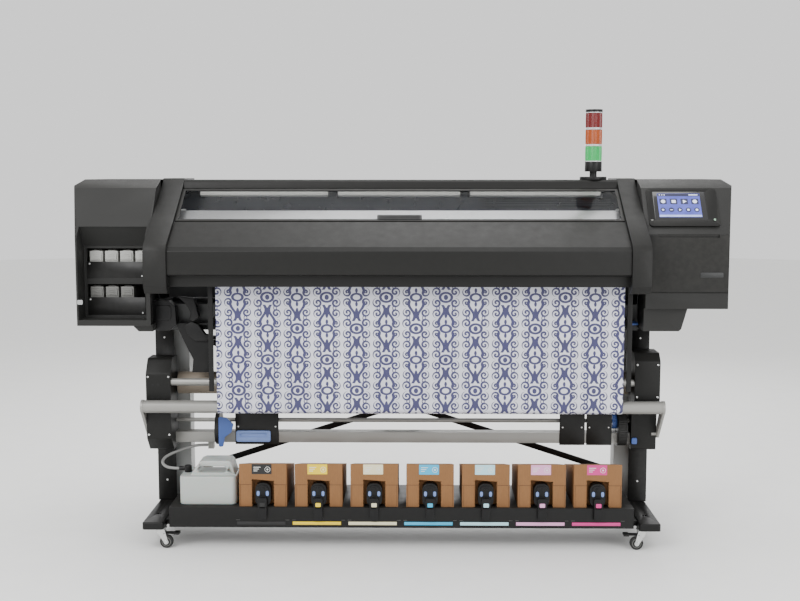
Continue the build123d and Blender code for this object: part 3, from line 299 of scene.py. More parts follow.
def relief(tree, shader, height, strength, distance):
    """Bump from a field."""
    bump = tree.nodes.new("ShaderNodeBump")
    bump.inputs["Strength"].default_value = strength
    bump.inputs["Distance"].default_value = distance
    feed(tree, bump.inputs["Height"], height)
    tree.links.new(bump.outputs["Normal"], shader.inputs["Normal"])


def surface(name, code, rough, metallic=0.0, grain=0.2, grain_mm=1.0, stretch=(1.0, 1.0, 1.0),
            mottle=0.08, wear_and_highlight=0.0, dust=0.0, sockets=()):
    """Mottled colour, uneven roughness, fine relief, dust on top, and lighter edges that are partly wear and
    partly a painted highlight.
    """
    finish, tree, shader, place = start(name)
    colour = mixed(tree, noise(tree, place, 9.0, 5.0), linear(code, 1 - mottle), linear(code, 1 + mottle))
    geometry = tree.nodes.new("ShaderNodeNewGeometry")
    if dust:
        upward = xyz(tree, geometry.outputs["Normal"])[2].clamped().op("POWER", 3.0)
        colour = mixed(tree, upward * noise(tree, place, 35.0, 6.0) * dust, colour, linear("9a978f"))
    if wear_and_highlight:
        # Convex edges are lightened towards pale grey: partly wear, partly a painted highlight.
        edge = ((Field(tree, geometry.outputs["Pointiness"]) - 0.53) * 14.0).clamped()
        colour = mixed(tree, edge * noise(tree, place, 60.0, 4.0) * wear_and_highlight, colour, linear("a5a29b"))
    feed(tree, shader.inputs["Base Color"], colour)
    feed(tree, shader.inputs["Roughness"], (noise(tree, place, 28.0, 4.0) - 0.5) * 0.22 + rough)
    shader.inputs["Metallic"].default_value = metallic
    for socket, value in sockets:
        shader.inputs[socket].default_value = value
    fine = noise(tree, place, 1000.0 / grain_mm, 2.0, stretch)
    relief(tree, shader, fine, grain, 0.0004)
    return finish


def board(name, code):
    """Corrugated board: fibres, faint flutes and scuffs."""
    finish, tree, shader, place = start(name)
    x, y, z = xyz(tree, place)
    fibres = noise(tree, place, 260.0, 5.0, (1.0, 1.0, 0.25))
    cloud = noise(tree, place, 14.0, 4.0)
    flutes = ((x + y * 0.35) * (math.tau / 0.0065)).op("SINE")
    colour = mixed(tree, fibres * 0.7 + cloud * 0.3, linear(code, 0.78), linear(code, 1.3))
    colour = mixed(tree, (flutes * 0.5 + 0.5) * 0.12, colour, linear(code, 0.6))
    feed(tree, shader.inputs["Base Color"], colour)
    feed(tree, shader.inputs["Roughness"], fibres * 0.15 + 0.74)
    relief(tree, shader, flutes * 0.25 + fibres, 0.25, 0.0005)
    return finish


def glow(name, code, strength, second=None):
    """A lit face that is a little uneven across its width."""
    finish, tree, shader, place = start(name)
    shade = mixed(tree, noise(tree, place, 30.0, 2.0), linear(code, 0.8), linear(second or code, 1.15))
    feed(tree, shader.inputs["Base Color"], shade)
    feed(tree, shader.inputs["Emission Color"], shade)
    shader.inputs["Emission Strength"].default_value = strength
    feed(tree, shader.inputs["Roughness"], noise(tree, place, 90.0) * 0.1 + 0.25)
    return finish


def lens(name, code, strength):
    """Ribbed coloured plastic with a lamp behind it."""
    finish, tree, shader, place = start(name)
    x, y, z = xyz(tree, place)
    rings = (z * (math.tau / 0.004)).op("SINE") * 0.5 + 0.5
    shade = mixed(tree, rings * 0.6 + noise(tree, place, 40.0) * 0.4, linear(code, 0.6), linear(code, 1.25))
    feed(tree, shader.inputs["Base Color"], shade)
    feed(tree, shader.inputs["Emission Color"], shade)
    shader.inputs["Emission Strength"].default_value = strength
    shader.inputs["Coat Weight"].default_value = 0.15
    feed(tree, shader.inputs["Roughness"], rings * 0.1 + 0.18)
    relief(tree, shader, rings, 0.3, 0.0006)
    return finish


def clear(name, code, alpha, rough):
    """A clear sheet: tinted, faintly smeared, seen through."""
    finish, tree, shader, place = start(name)
    smear = noise(tree, place, 5.0, 4.0, (1.0, 3.0, 3.0))
    feed(tree, shader.inputs["Base Color"], mixed(tree, smear, linear(code, 0.85), linear(code)))
    feed(tree, shader.inputs["Roughness"], smear * 0.08 + rough)
    feed(tree, shader.inputs["Alpha"], smear * 0.06 + alpha)
    shader.inputs["Coat Weight"].default_value = 0.5
    return finish


def wound(name, code, edge_code):
    """A wound roll: its outside plain, its ends showing the turns."""
    finish, tree, shader, place = start(name)
    x, y, z = xyz(tree, place)
    dy = y - SUPPLY_AXIS[0]
    dz = z - SUPPLY_AXIS[1]
    radius = (dy * dy + dz * dz).op("SQRT")
    turns = (radius * (math.tau / 0.0022)).op("SINE") * 0.5 + 0.5
    normal = xyz(tree, tree.nodes.new("ShaderNodeNewGeometry").outputs["Normal"])[0]
    end = normal.op("ABSOLUTE").op("POWER", 6.0)
    plain = mixed(tree, noise(tree, place, 8.0), linear(code, 0.93), linear(code, 1.03))
    feed(tree, shader.inputs["Base Color"], mixed(tree, end * turns, plain, linear(edge_code)))
    feed(tree, shader.inputs["Roughness"], end * 0.35 + 0.35)
    relief(tree, shader, end * turns, 0.4, 0.0004)
    return finish


def printed(name):
    """Silvery film printed with a half-dropped repeat of lobed medallions in vine frames."""
    finish, tree, shader, place = start(name)
    uv = tree.nodes.new("ShaderNodeUVMap")
    uv.uv_map = "run"
    u, v, _ = xyz(tree, uv.outputs["UV"])
    wide = 0.111
    tall = 0.235
    column = (u / wide).op("FLOOR")
    x = ((u / wide).op("FRACT") - 0.5) * wide
    drop = (column * 0.5).op("FRACT")
    y = ((v / tall + drop).op("FRACT") - 0.5) * tall
    side = x.op("ABSOLUTE")
    rise = y.op("ABSOLUTE")

    def oval(cx, cy, width, height):
        """Distance from a point pair, 1 on an oval of that half size."""
        return (((side - cx) / width).op("POWER", 2.0) + ((rise - cy) / height).op("POWER", 2.0)).op("SQRT")

    def curl(cx, cy, radius, turn):
        """A spiral scroll that opens outwards."""
        dx = side - cx
        dy = rise - cy
        out = (dx * dx + dy * dy).op("SQRT")
        arm = (out / (radius * 0.78) + dy.op("ARCTAN2", dx) * (turn / math.tau)).op("FRACT")
        return arm.op("LESS_THAN", 0.58) * out.op("LESS_THAN", radius)

    ring = oval(0.0, 0.0, 0.027, 0.021).between(0.62, 1.0)
    bud = oval(0.0, 0.0, 0.008, 0.010).op("LESS_THAN", 1.0)
    stem = (side - (rise * (math.tau / 0.094)).op("COSINE") * 0.011 - 0.0165).op("ABSOLUTE")
    stem = stem.op("LESS_THAN", 0.0056) * rise.between(0.028, 0.104)
    fan = oval(0.0, 0.1175, 0.024, 0.017).between(0.56, 1.0)
    drops = (oval(0.0, 0.058, 0.0065, 0.020).op("LESS_THAN", 1.0)
             + oval(0.0, 0.092, 0.005, 0.009).op("LESS_THAN", 1.0))
    scrolls = (curl(0.034, 0.020, 0.0175, 1.0) + curl(0.0335, 0.061, 0.0165, -1.0)
               + curl(0.034, 0.0985, 0.0165, 1.0))
    link = oval(0.029, 0.040, 0.007, 0.010).between(0.55, 1.0)
    ink = ring + bud + stem + fan + drops + scrolls + link
    ink = ink.clamped() * (noise(tree, place, 500.0, 2.0) * 0.12 + 0.9)
    film = mixed(tree, noise(tree, place, 6.0, 3.0, (1.0, 1.0, 0.3)), linear("b9bac6"), linear("dcdde6"))
    navy = mixed(tree, noise(tree, place, 12.0), linear("191845"), linear("24225c"))
    feed(tree, shader.inputs["Base Color"], mixed(tree, ink, film, navy))
    feed(tree, shader.inputs["Roughness"], ink * 0.08 + noise(tree, place, 20.0) * 0.12 + 0.3)
    shader.inputs["Sheen Weight"].default_value = 0.1
    relief(tree, shader, noise(tree, place, 1400.0, 2.0) + ink * 0.5, 0.08, 0.0003)
    return finish


FINISHES = {}


def make_finishes():
    """Every finish by name."""
    FINISHES.update({
        "charcoal": surface("charcoal_moulding", "171716", 0.5, grain=0.3, grain_mm=0.9,
                            mottle=0.06, dust=0.03,
                            wear_and_highlight=0.05, sockets=(("Specular IOR Level", 0.22),)),
        "charcoal_side": surface("charcoal_side_moulding", "232322", 0.48, grain=0.3, grain_mm=0.9,
                                 mottle=0.06, dust=0.03, wear_and_highlight=0.05, sockets=(("Specular IOR Level", 0.26),)),
        "black": surface("black_moulding", "080809", 0.42, grain=0.25, grain_mm=0.8, wear_and_highlight=0.06, dust=0.02,
                         sockets=(("Specular IOR Level", 0.3),)),
        "stand": surface("black_powder_coat", "0b0b0b", 0.4, grain=0.35, grain_mm=2.2, wear_and_highlight=0.06, dust=0.03,
                         sockets=(("Specular IOR Level", 0.28),)),
        "column": surface("grey_powder_coat", "a3a5a4", 0.42, grain=0.3, grain_mm=2.0, dust=0.05, wear_and_highlight=0.1),
        "chassis": surface("dark_painted_steel", "252626", 0.4, metallic=0.2, grain=0.25,
                           grain_mm=2.4, wear_and_highlight=0.2),
        "drawn": surface("drawn_aluminium", "a4a5a6", 0.32, metallic=0.9, grain=0.06, grain_mm=0.9,
                         stretch=(0.02, 1.0, 1.0), mottle=0.05),
        "satin": surface("satin_aluminium", "8f8e8a", 0.4, metallic=0.35, grain=0.12, grain_mm=0.8,
                         stretch=(0.03, 1.0, 1.0), mottle=0.02),
        "zinc": surface("zinc_plate", "cfd0cf", 0.28, metallic=1.0, grain=0.15, grain_mm=3.0, mottle=0.16),
        "panel": surface("blue_black_panel", "141a26", 0.3, metallic=0.3, grain=0.15, grain_mm=1.5),
        "rubber": surface("wheel_rubber", "121212", 0.68, grain=0.4, grain_mm=0.7, dust=0.2),
        "bottle": surface("blown_bottle", "a9aeaa", 0.34, grain=0.2, grain_mm=6.0, mottle=0.05,
                          sockets=(("Subsurface Weight", 0.25), ("Subsurface Scale", 0.02))),
        "hose": surface("grey_hose", "7d7d7b", 0.5, grain=0.2, grain_mm=0.9),
        "tank": surface("light_grey_tank", "a8a8a4", 0.42, grain=0.25, grain_mm=0.8, wear_and_highlight=0.1),
        "tank_dark": surface("grey_tank", "6a6a67", 0.42, grain=0.25, grain_mm=0.8, wear_and_highlight=0.1),
        "glass": surface("black_screen_glass", "07070a", 0.12, grain=0.02, grain_mm=4.0,
                         sockets=(("Coat Weight", 0.8),)),
        "blue": surface("blue_touch_point", "35508f", 0.4, grain=0.2, grain_mm=0.9),
        "pale_blue": surface("pale_blue_key", "6f87bd", 0.38, grain=0.2, grain_mm=0.9),
        # White for labels and the socket's tongue, and for the strips that are painted reflections of the
        # lights.
        "white": surface("white_and_painted_reflection", "d9d9d4", 0.4, grain=0.15, grain_mm=1.2),
        "board": board("brown_board", "7d5733"),
        "window": clear("window_sheet", "1a1e22", 0.05, 0.03),
        "ring": clear("lens_spacer", "e4e6e6", 0.75, 0.2),
        "roll": wound("white_roll", "dcdcd8", "8b8b86"),
        "core": surface("card_core", "8c8173", 0.6, grain=0.3, grain_mm=0.8, stretch=(0.1, 1.0, 1.0)),
        "web": printed("printed_film"),
        "red": lens("red_lens", "6a0303", 0.02),
        "amber": lens("amber_lens", "a34703", 0.02),
        "green": lens("green_lens", "0a8f45", 0.9),
        "display": glow("display_face", "3a3f8c", 0.55, "565cb4"),
        "display_bar": glow("display_top_bar", "23233a", 0.6, "2d2f4a"),
        "display_foot": glow("display_foot_bar", "8f9cd0", 0.5, "a3afdc"),
        "icon": glow("display_icon", "c3cdf4", 0.6, "dfe6ff"),
        "power": glow("power_mark", "a5d8b0", 0.8, "c9f0d4"),
        # Dark brown for the carton's crease lines: painted shade in the creases.
        "crease_shade": surface("painted_crease_shade", "3d2512", 0.8, grain=0.3, grain_mm=1.0),
        # Near black for the insides of holes, slots and recesses: painted shade.
        "hollow_shade": surface("painted_hollow_shade", "050505", 0.8, grain=0.2, grain_mm=2.0),
    })
    for index, code in enumerate(COLOURS):
        FINISHES[f"label_{index}"] = surface(f"label_colour_{index}", code, 0.45, grain=0.15, grain_mm=0.6)


def dress(node, finish, bevel=0.0):
    """A CAD node's finish, and rounded edges over its own mesh."""
    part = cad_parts[node]
    if not part.material_slots:
        part.data.materials.append(FINISHES[finish])
    for slot in part.material_slots:
        slot.material = FINISHES[finish]
    if bevel:
        part.data.polygons.foreach_set("use_smooth", [True] * len(part.data.polygons))
        weld = part.modifiers.new("weld", "WELD")
        weld.merge_threshold = 0.00002
        edge = part.modifiers.new("edge", "BEVEL")
        edge.width = bevel * MM
        edge.segments = 3
        edge.limit_method = "ANGLE"
        edge.angle_limit = math.radians(32)
        edge.harden_normals = True


def scatter(name, source_bm, points, body, finish):
    """Copies of a small shape at points, made by a Geometry Nodes group."""
    shape_mesh = bpy.data.meshes.new(name + "_shape")
    bmesh.ops.recalc_face_normals(source_bm, faces=source_bm.faces)
    source_bm.to_mesh(shape_mesh)
    source_bm.free()
    shape = bpy.data.objects.new(name + "_shape", shape_mesh)
    bpy.context.scene.collection.objects.link(shape)
    mesh = bpy.data.meshes.new(name)
    mesh.from_pydata([mm(*point) for point in points], [], [])
    made = bpy.data.objects.new(name, mesh)
    bpy.context.scene.collection.objects.link(made)
    group = bpy.data.node_groups.new("CopiesAtPoints", "GeometryNodeTree")
    for label, kind, way in (("Points", "NodeSocketGeometry", "INPUT"),
                             ("Shape", "NodeSocketObject", "INPUT"),
                             ("Finish", "NodeSocketMaterial", "INPUT"),
                             ("Copies", "NodeSocketGeometry", "OUTPUT")):
        group.interface.new_socket(name=label, in_out=way, socket_type=kind)
    entry = group.nodes.new("NodeGroupInput")
    info = group.nodes.new("GeometryNodeObjectInfo")
    copies = group.nodes.new("GeometryNodeInstanceOnPoints")
    whole = group.nodes.new("GeometryNodeRealizeInstances")
    paint = group.nodes.new("GeometryNodeSetMaterial")
    leave = group.nodes.new("NodeGroupOutput")
    for out, into in ((entry.outputs["Points"], copies.inputs["Points"]),
                      (entry.outputs["Shape"], info.inputs["Object"]),
                      (info.outputs["Geometry"], copies.inputs["Instance"]),
                      (copies.outputs["Instances"], whole.inputs["Geometry"]),
                      (whole.outputs["Geometry"], paint.inputs["Geometry"]),
                      (entry.outputs["Finish"], paint.inputs["Material"]),
                      (paint.outputs["Geometry"], leave.inputs["Copies"])):
        group.links.new(out, into)
    modifier = made.modifiers.new("copies", "NODES")
    modifier.node_group = group
    sockets = {item.name: item.identifier for item in group.interface.items_tree}
    modifier[sockets["Shape"]] = shape
    modifier[sockets["Finish"]] = FINISHES[finish]
    settle(made)
    bpy.data.objects.remove(shape)
    smooth(made.data)
    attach(made, body)
    return made


def screw(radius=4.0, height=2.2):
    """A pan head with a hex socket, facing -Y, with its seat at the origin."""
    bm = bmesh.new()
    turned(bm, [(0, radius), (-height * 0.6, radius), (-height, radius * 0.72), (-height, radius * 0.42),
                (-height * 0.35, radius * 0.4)], 0, 0, "Y", 12)
    return bm


# ------------------------------------------------------------------ the paper path
def rounded_path(points, radii, step=20.0):
    """Points in the YZ plane along a line with round corners, at most a step apart."""
    path = [Vector(points[0])]
    for before, here, after, radius in zip(points, points[1:], points[2:], radii):
        here = Vector(here)
        into = (Vector(before) - here).normalized()
        out = (Vector(after) - here).normalized()
        half = into.angle(out) / 2
        reach = radius / math.tan(half)
        middle = here + (into + out).normalized() * radius / math.sin(half)
        first = here + into * reach - middle
        sweep = (math.pi - 2 * half) * (1 if into.cross(out) < 0 else -1)
        run_to(path, here + into * reach, step)
        for i in range(1, 11):
            angle = sweep * i / 10
            path.append(middle + Vector((first.x * math.cos(angle) - first.y * math.sin(angle),
                                         first.x * math.sin(angle) + first.y * math.cos(angle))))
    run_to(path, Vector(points[-1]), step)
    return path


def run_to(path, end, step):
    """Adds a straight run to the path's end."""
    begin = path[-1]
    count = max(1, math.ceil((end - begin).length / step))
    path.extend(begin.lerp(end, i / count) for i in range(1, count + 1))


def film(name, path, marks, ripple, columns=96):
    """A strip of film along part of the paper path; its UV map runs with the paper."""
    bm = bmesh.new()
    layer = bm.loops.layers.uv.new("run")
    rows = []
    for (y, z), mark in zip(path, marks):
        row = []
        for i in range(columns + 1):
            x = WEB_LEFT + (WEB_RIGHT - WEB_LEFT) * i / columns
            slack = math.sin(math.pi * min(1, max(0, (z - 560) / 400))) if y < -289 else 0.0
            wave = ripple * slack * (math.sin(x / 97.0 + z / 310.0) + 0.5 * math.sin(x / 41.0 - z / 150.0))
            row.append((bm.verts.new(mm(x, y - abs(wave), z)), x * MM, mark * MM))
        rows.append(row)
    for row, after in zip(rows, rows[1:]):
        for i in range(columns):
            corners = (row[i], row[i + 1], after[i + 1], after[i])
            face = bm.faces.new([corner[0] for corner in corners])
            for loop, corner in zip(face.loops, corners):
                loop[layer].uv = (corner[1], corner[2])
    mesh = bpy.data.meshes.new(name)
    bm.to_mesh(mesh)
    bm.free()
    made = bpy.data.objects.new(name, mesh)
    bpy.context.scene.collection.objects.link(made)
    mesh.materials.append(FINISHES["web"])
    thick = made.modifiers.new("thick", "SOLIDIFY")
    thick.thickness = 0.4 * MM
    thick.offset = 0.0
    settle(made)
    smooth(made.data, 50.0)
    return made


# ------------------------------------------------------------------ operators
class BuildStep:
    """Shared by the operators: runs build() and lets an error stop the script."""

    bl_options = {"REGISTER", "UNDO"}

    def execute(self, context):
        self.build(context.scene.roll_printer)
        return {"FINISHED"}


class RollPrinterSettings(bpy.types.PropertyGroup):
    """What the operators read."""

    lens: bpy.props.FloatProperty(name="Lens (mm)", default=53.29, min=20.0, max=120.0)
    key_power: bpy.props.FloatProperty(name="Key light (W)", default=150.0, min=1.0, max=1000.0)
    world_power: bpy.props.FloatProperty(name="Room light", default=1.15, min=0.0, max=3.0)
    ripple: bpy.props.FloatProperty(name="Film ripple (mm)", default=0.9, min=0.0, max=4.0)


class PRINTER_OT_stage(BuildStep, bpy.types.Operator):
    """Camera, soft lights, pale room light and pale floor"""

    bl_idname = "roll_printer.stage"
    bl_label = "Studio"

    def build(self, settings):
        camera = bpy.data.objects.new("camera", bpy.data.cameras.new("camera"))
        bpy.context.scene.collection.objects.link(camera)
        camera.location = (0.05254, -4.6727, 1.3968)
        yaw = 0.0130
        pitch = 0.1065
        forward = Vector((-math.sin(yaw) * math.cos(pitch), math.cos(yaw) * math.cos(pitch),
                          -math.sin(pitch)))
        camera.rotation_euler = forward.to_track_quat("-Z", "Y").to_euler()
        camera.data.lens = settings.lens
        camera.data.sensor_width = 36.0
        camera.data.dof.use_dof = False
        bpy.context.scene.camera = camera
        for name, place, size, power in (
                ("key", (-2.4, -3.4, 3.3), 2.4, settings.key_power),
                ("fill", (2.9, -3.2, 2.2), 2.2, settings.key_power * 0.5),
                ("top", (0.2, 0.4, 3.7), 3.0, settings.key_power * 0.55),
                ("rim", (0.4, 3.6, 2.6), 2.4, settings.key_power * 0.4)):
            light = bpy.data.objects.new(name, bpy.data.lights.new(name, "AREA"))
            bpy.context.scene.collection.objects.link(light)
            light.data.size = size
            light.data.energy = power
            light.location = place
            aim = Vector((0.0, 0.0, 0.8)) - Vector(place)
            light.rotation_euler = aim.to_track_quat("-Z", "Y").to_euler()
        world = bpy.data.worlds.new("pale_room")
        world.use_nodes = True
        world.node_tree.nodes["Background"].inputs["Color"].default_value = (1.0, 1.0, 1.0, 1.0)
        world.node_tree.nodes["Background"].inputs["Strength"].default_value = settings.world_power
        bpy.context.scene.world = world
        bm = bmesh.new()
        bmesh.ops.create_circle(bm, cap_ends=True, segments=96, radius=16.0)
        mesh = bpy.data.meshes.new("floor")
        bm.to_mesh(mesh)
        bm.free()
        floor = bpy.data.objects.new("floor", mesh)
        bpy.context.scene.collection.objects.link(floor)
        mesh.materials.append(surface("pale_floor", "f0f0ee", 0.6, grain=0.05, grain_mm=8.0, mottle=0.03))


class PRINTER_OT_hose(BuildStep, bpy.types.Operator):
    """The waste hose, from the bottle's elbow to the gland under the take-up beam"""

    bl_idname = "roll_printer.hose"
    bl_label = "Waste hose"

    def build(self, settings):
        make_finishes()
        route = ((-846, -262, 281), (-884, -262, 281), (-914, -246, 293), (-918, -212, 306),
                 (-896, -184, 318), (-862, -161, 327), (-830, -140, 335), (-796, -127, 341),
                 (-756, -127, 341))
        curve = bpy.data.curves.new("waste_hose_line", "CURVE")
        curve.dimensions = "3D"
        spline = curve.splines.new("NURBS")
        spline.points.add(len(route) - 1)
        for point, place in zip(spline.points, route):
            point.co = (*mm(*place), 1.0)
        spline.order_u = 3
        spline.use_endpoint_u = True
        spline.resolution_u = 12
        curve.bevel_depth = 0.0055
        curve.bevel_resolution = 6
        curve.use_fill_caps = True
        curve.materials.append(FINISHES["hose"])
        hose = bpy.data.objects.new("hose", curve)
        bpy.context.scene.collection.objects.link(hose)
        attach(hose, "printer")
        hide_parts("waste_hose")


class PRINTER_OT_frame(BuildStep, bpy.types.Operator):
    """Finishes and rounded edges of the CAD nodes that stay"""

    bl_idname = "roll_printer.frame"
    bl_label = "Frame and covers"

    def build(self, settings):
        for finish, bevel, nodes in (
                ("stand", 1.0, ("feet", "supply_tray", "cartridge_brackets", "web_guides")),
                ("stand", 0.5, ("cross_brace",)),
                ("column", 1.0, ("left_column", "right_column")),
                ("black", 1.5, ("column_covers", "tower_base", "takeup_hubs", "roll_spindle", "carriage",
                                "bottle_fitting")),
                ("charcoal", 2.0, ("arch_covers", "left_housing", "drive_housing")),
                ("charcoal_side", 7.0, ("left_cover", "right_cover")),
                ("charcoal", 0.8, ("top_cover", "rear_cover", "curing_cover", "front_skirt",
                                   "service_door", "control_panel", "window_frame")),
                ("window", 0.0, ("window_pane",)),
                ("glass", 0.3, ("touch_screen",)),
                ("charcoal_side", 0.0, ("power_button",)),
                ("chassis", 1.0, ("chassis",)),
                ("drawn", 0.6, ("platen",)),
                ("satin", 0.8, ("takeup_bars", "tension_bar")),
                ("drawn", 0.0, ("carriage_rails",)),
                ("core", 0.0, ("takeup_reel",)),
                ("roll", 0.0, ("supply_roll",)),
                ("panel", 0.5, ("back_panel",)),
                ("bottle", 4.0, ("waste_bottle",)),
                ("blue", 1.5, ("hub_lever",)),
                ("black", 0.8, ("front_left_brake_pedal", "front_right_brake_pedal")),
                ("zinc", 0.5, tuple(f"{end}_{side}_fork" for end in ("front", "rear")
                                    for side in ("left", "right")))):
            for node in nodes:
                dress(node, finish, bevel)


class PRINTER_OT_details(BuildStep, bpy.types.Operator):
    """Lamps, catches, plates, vents and screws on the covers"""

    bl_idname = "roll_printer.details"
    bl_label = "Cover details"

    # White strips as painted reflections of the lights, catches, plates, vents and holes as dark painted
    # shade, and screws on the covers
    def build(self, settings):
        # White strips with black end caps under the top cover: painted reflections of the lights on the
        # window.
        bm = bmesh.new()
        for low, high in ((-786, -288), (-249, 226), (265, 771)):
            prism(bm, [(-50, 1316), (-28, 1308), (-24, 1330), (-44, 1336)], low, high)
            for x in (low - 4, high):
                prism(bm, [(-54, 1312), (-24, 1302), (-20, 1334), (-46, 1338)], x, x + 4, "X", 1)
        piece("lamp_strips", bm, "printer", "column_paint", [FINISHES["white"], FINISHES["black"]], 1.2)
        bm = bmesh.new()
        prism(bm, rounded(-1197, 921, 20, 17, 4), -304, -298, "Y")
        prism(bm, rounded(-1197, 921, 12, 5, 2), -306, -303, "Y")
        piece("side_catch", bm, "printer", "column_paint", [FINISHES["column"]], 0.8)
        bm = bmesh.new()
        prism(bm, rounded(1146.5, 1025.5, 85, 19, 3), -307.4, -305, "Y")
        piece("bare_plate", bm, "service_door", "charcoal_cover", [FINISHES["chassis"]], 0.5)
        bm = bmesh.new()
        prism(bm, [(-226, 829), (-206, 827), (-164, 832), (-158, 838), (-200, 838), (-222, 836)], 866, 894)
        piece("release_lever", bm, "printer", "touch_blue", [FINISHES["blue"]], 1.2)
        bm = bmesh.new()
        prism(bm, [(-956, 913), (-923, 921), (-883, 917), (-860, 896), (-856, 826), (-886, 802), (-930, 802),
                   (-944, 830), (-957, 848)], -214, -164, "Y")
        prism(bm, rounded(-906, 872, 62, 58, 12), -218, -210, "Y")
        prism(bm, [(-850, 934), (-787, 929), (-768, 857), (-790, 838), (-806, 846), (-800, 872),
                   (-818, 906)], -220, -190, "Y")
        prism(bm, [(-829, 824), (-814, 784), (-790, 761), (-741, 761), (-725, 784), (-749, 788),
                   (-776, 828), (-800, 838)], -206, -176, "Y")
        piece("film_edge_guides", bm, "printer", "black_plastic", [FINISHES["black"]], 3.0)
        bm = bmesh.new()
        for x, z in ((-846, 1262), (831, 1262)):
            block(bm, x - 3, x + 6, -150, -60, 1236, z)
        for z in (1188, 1196):
            block(bm, -846, 832, -158, -144, z, z + 3, 1)
        piece("window_sills", bm, "printer", "brushed_aluminium",
              [FINISHES["column"], FINISHES["drawn"]], 0.8)
        bm = bmesh.new()
        normal = Vector((0, -0.544, 0.839))
        down = Vector((0, -0.839, -0.544))
        middle = Vector((-7, -234, 1233.7))
        # The grip's inner plate is near black: painted shade in its recess.
        for low, high, width, finish in ((-12, 18, 84, 0), (-6, 12, 76, 1)):
            rows = []
            for lift in (0.2, 1.2 + finish * 0.5):
                rows.append([(middle + Vector((u, 0, 0)) - down * v + normal * lift) * MM
                             for u, v in rounded(0, (low + high) / 2, width * 2, high - low, 4)])
            loft(bm, rows, finish)
        piece("window_grip", bm, "window", "black_plastic", [FINISHES["black"], FINISHES["hollow_shade"]], 0.4)
        # Dark slots standing in for the vent openings: painted shade.
        slots = bmesh.new()
        prism(slots, rounded(0, 0, 64, 5, 2.4), -0.5, 0.8, "Y")
        scatter("rear_vents", slots,
                [(side * x, 330.1, 1000 + 14 * row) for side in (-1, 1) for x in (1010, 1090, 1170)
                 for row in range(17)], "printer", "hollow_shade")
        scatter("cover_screws", screw(),
                [(-1184, -205, 1058), (-985, -205, 1011), (-1184, -205, 922), (-985, -205, 870),
                 (-966, -232, 628), (-888, -232, 628), (-966, -232, 404), (-888, -232, 404),
                 (894, -232, 678), (972, -232, 678), (894, -232, 554), (972, -232, 554)]
                + [(side * 930, -85, z) for side in (-1, 1) for z in (190, 470, 760)],
                "printer", "zinc")
        # Dark discs standing in for the holes in the housing: painted shade.
        holes = bmesh.new()
        turned(holes, [(0.4, 5.0), (-0.3, 5.0)], 0, 0, "Y", 20)
        scatter("housing_holes", holes,
                [(x, -232, z) for x in (-948, -927, -906) for z in (452, 500, 548, 596)],
                "printer", "hollow_shade")


class PRINTER_OT_panel(BuildStep, bpy.types.Operator):
    """The lit display, its generic icons and the power mark"""

    bl_idname = "roll_printer.control_panel"
    bl_label = "Control panel"

    def build(self, settings):
        bm = bmesh.new()
        panel_plate(bm, rounded(-11.5, 8, 159, 108, 2), 6.5, 6.75)
        panel_plate(bm, rounded(-11.5, 55, 157, 12, 1), 6.7, 6.9, 1)
        panel_plate(bm, rounded(-11.5, -40, 157, 9, 1), 6.7, 6.9, 2)
        for i in range(4):
            u = -71 + i * 39.5
            panel_plate(bm, rounded(u, 25, 27, 25, 3), 6.7, 6.95, 1)
            panel_plate(bm, (circle(u, 25, 8, 24), rounded(u, 25, 15, 13, 1), circle(u, 25, 9, 3),
                             circle(u, 25, 9, 6))[i], 6.9, 7.1, 3)
        for i in range(5):
            u = -75 + i * 31.5
            panel_plate(bm, circle(u, -13, 10, 28), 6.7, 6.95, 1)
            panel_plate(bm, (circle(u, -13, 5, 4), rounded(u, -13, 10, 3, 1), circle(u, -13, 6, 3),
                             rounded(u, -13, 8, 8, 1), circle(u, -13, 5, 20))[i], 6.9, 7.1, 3)
        for i in range(3):
            panel_plate(bm, circle(-82 + 9 * i, 55, 2.2, 16), 6.85, 7.0, 3)
        panel_plate(bm, rounded(44, 55, 34, 4, 1), 6.85, 7.0, 3)
        piece("display", bm, "printer", "screen_glass",
              [FINISHES[key] for key in ("display", "display_bar", "display_foot", "icon")])
        bm = bmesh.new()
        ring = [(112 + 3.6 * math.sin(a), -58 + 3.6 * math.cos(a)) for a in
                [0.6 + i * (math.tau - 1.2) / 24 for i in range(25)]]
        inner = [(112 + 2.6 * math.sin(a), -58 + 2.6 * math.cos(a)) for a in
                 [0.6 + i * (math.tau - 1.2) / 24 for i in range(24, -1, -1)]]
        panel_plate(bm, ring + inner, 7.9, 8.2)
        panel_plate(bm, rounded(112, -55.2, 1.0, 4.4, 0.4), 7.9, 8.2)
        piece("power_mark", bm, "power_button", "button_grey", [FINISHES["power"]])
        # The socket's opening is near black: painted shade.
        bm = bmesh.new()
        panel_plate(bm, rounded(-119, -58, 12, 5, 0.8), 2.0, 3.0)
        panel_plate(bm, rounded(-119, -57.2, 9, 1.6, 0.4), 3.0, 5.0, 1)
        piece("usb_socket", bm, "printer", "black_plastic", [FINISHES["hollow_shade"], FINISHES["white"]], 0.2)


class PRINTER_OT_ink_bay(BuildStep, bpy.types.Operator):
    """The ink tanks in the left cover's recess"""

    bl_idname = "roll_printer.ink_bay"
    bl_label = "Ink bay"

    def build(self, settings):
        rows_of_tanks = ((4, 1006, 1106, "tank"), (3, 865, 970, "tank_dark"))
        for row, (count, low, high, finish) in enumerate(rows_of_tanks):
            bm = bmesh.new()
            for i in range(count):
                x = -1160.5 + 58 * i
                right = min(x + 24.5, -976)
                block(bm, x - 24.5, right, -195, -65, low, high)
                block(bm, x - 20, right - 4.5, -199, -194, high - 34, high - 8)
                block(bm, x - 15, right - 9, -189, -80, high - 1, high + 3)
                for k in range(3):
                    block(bm, x - 12, right - 12, -201, -198.5, high - 30 + 8 * k, high - 27 + 8 * k)
            stands = ("ink_tanks",) if row == 0 else ()
            piece(f"ink_tanks_row_{row + 1}", bm, "printer", "ink_tank_plastic", [FINISHES[finish]], 1.4,
                  stands_for=stands)


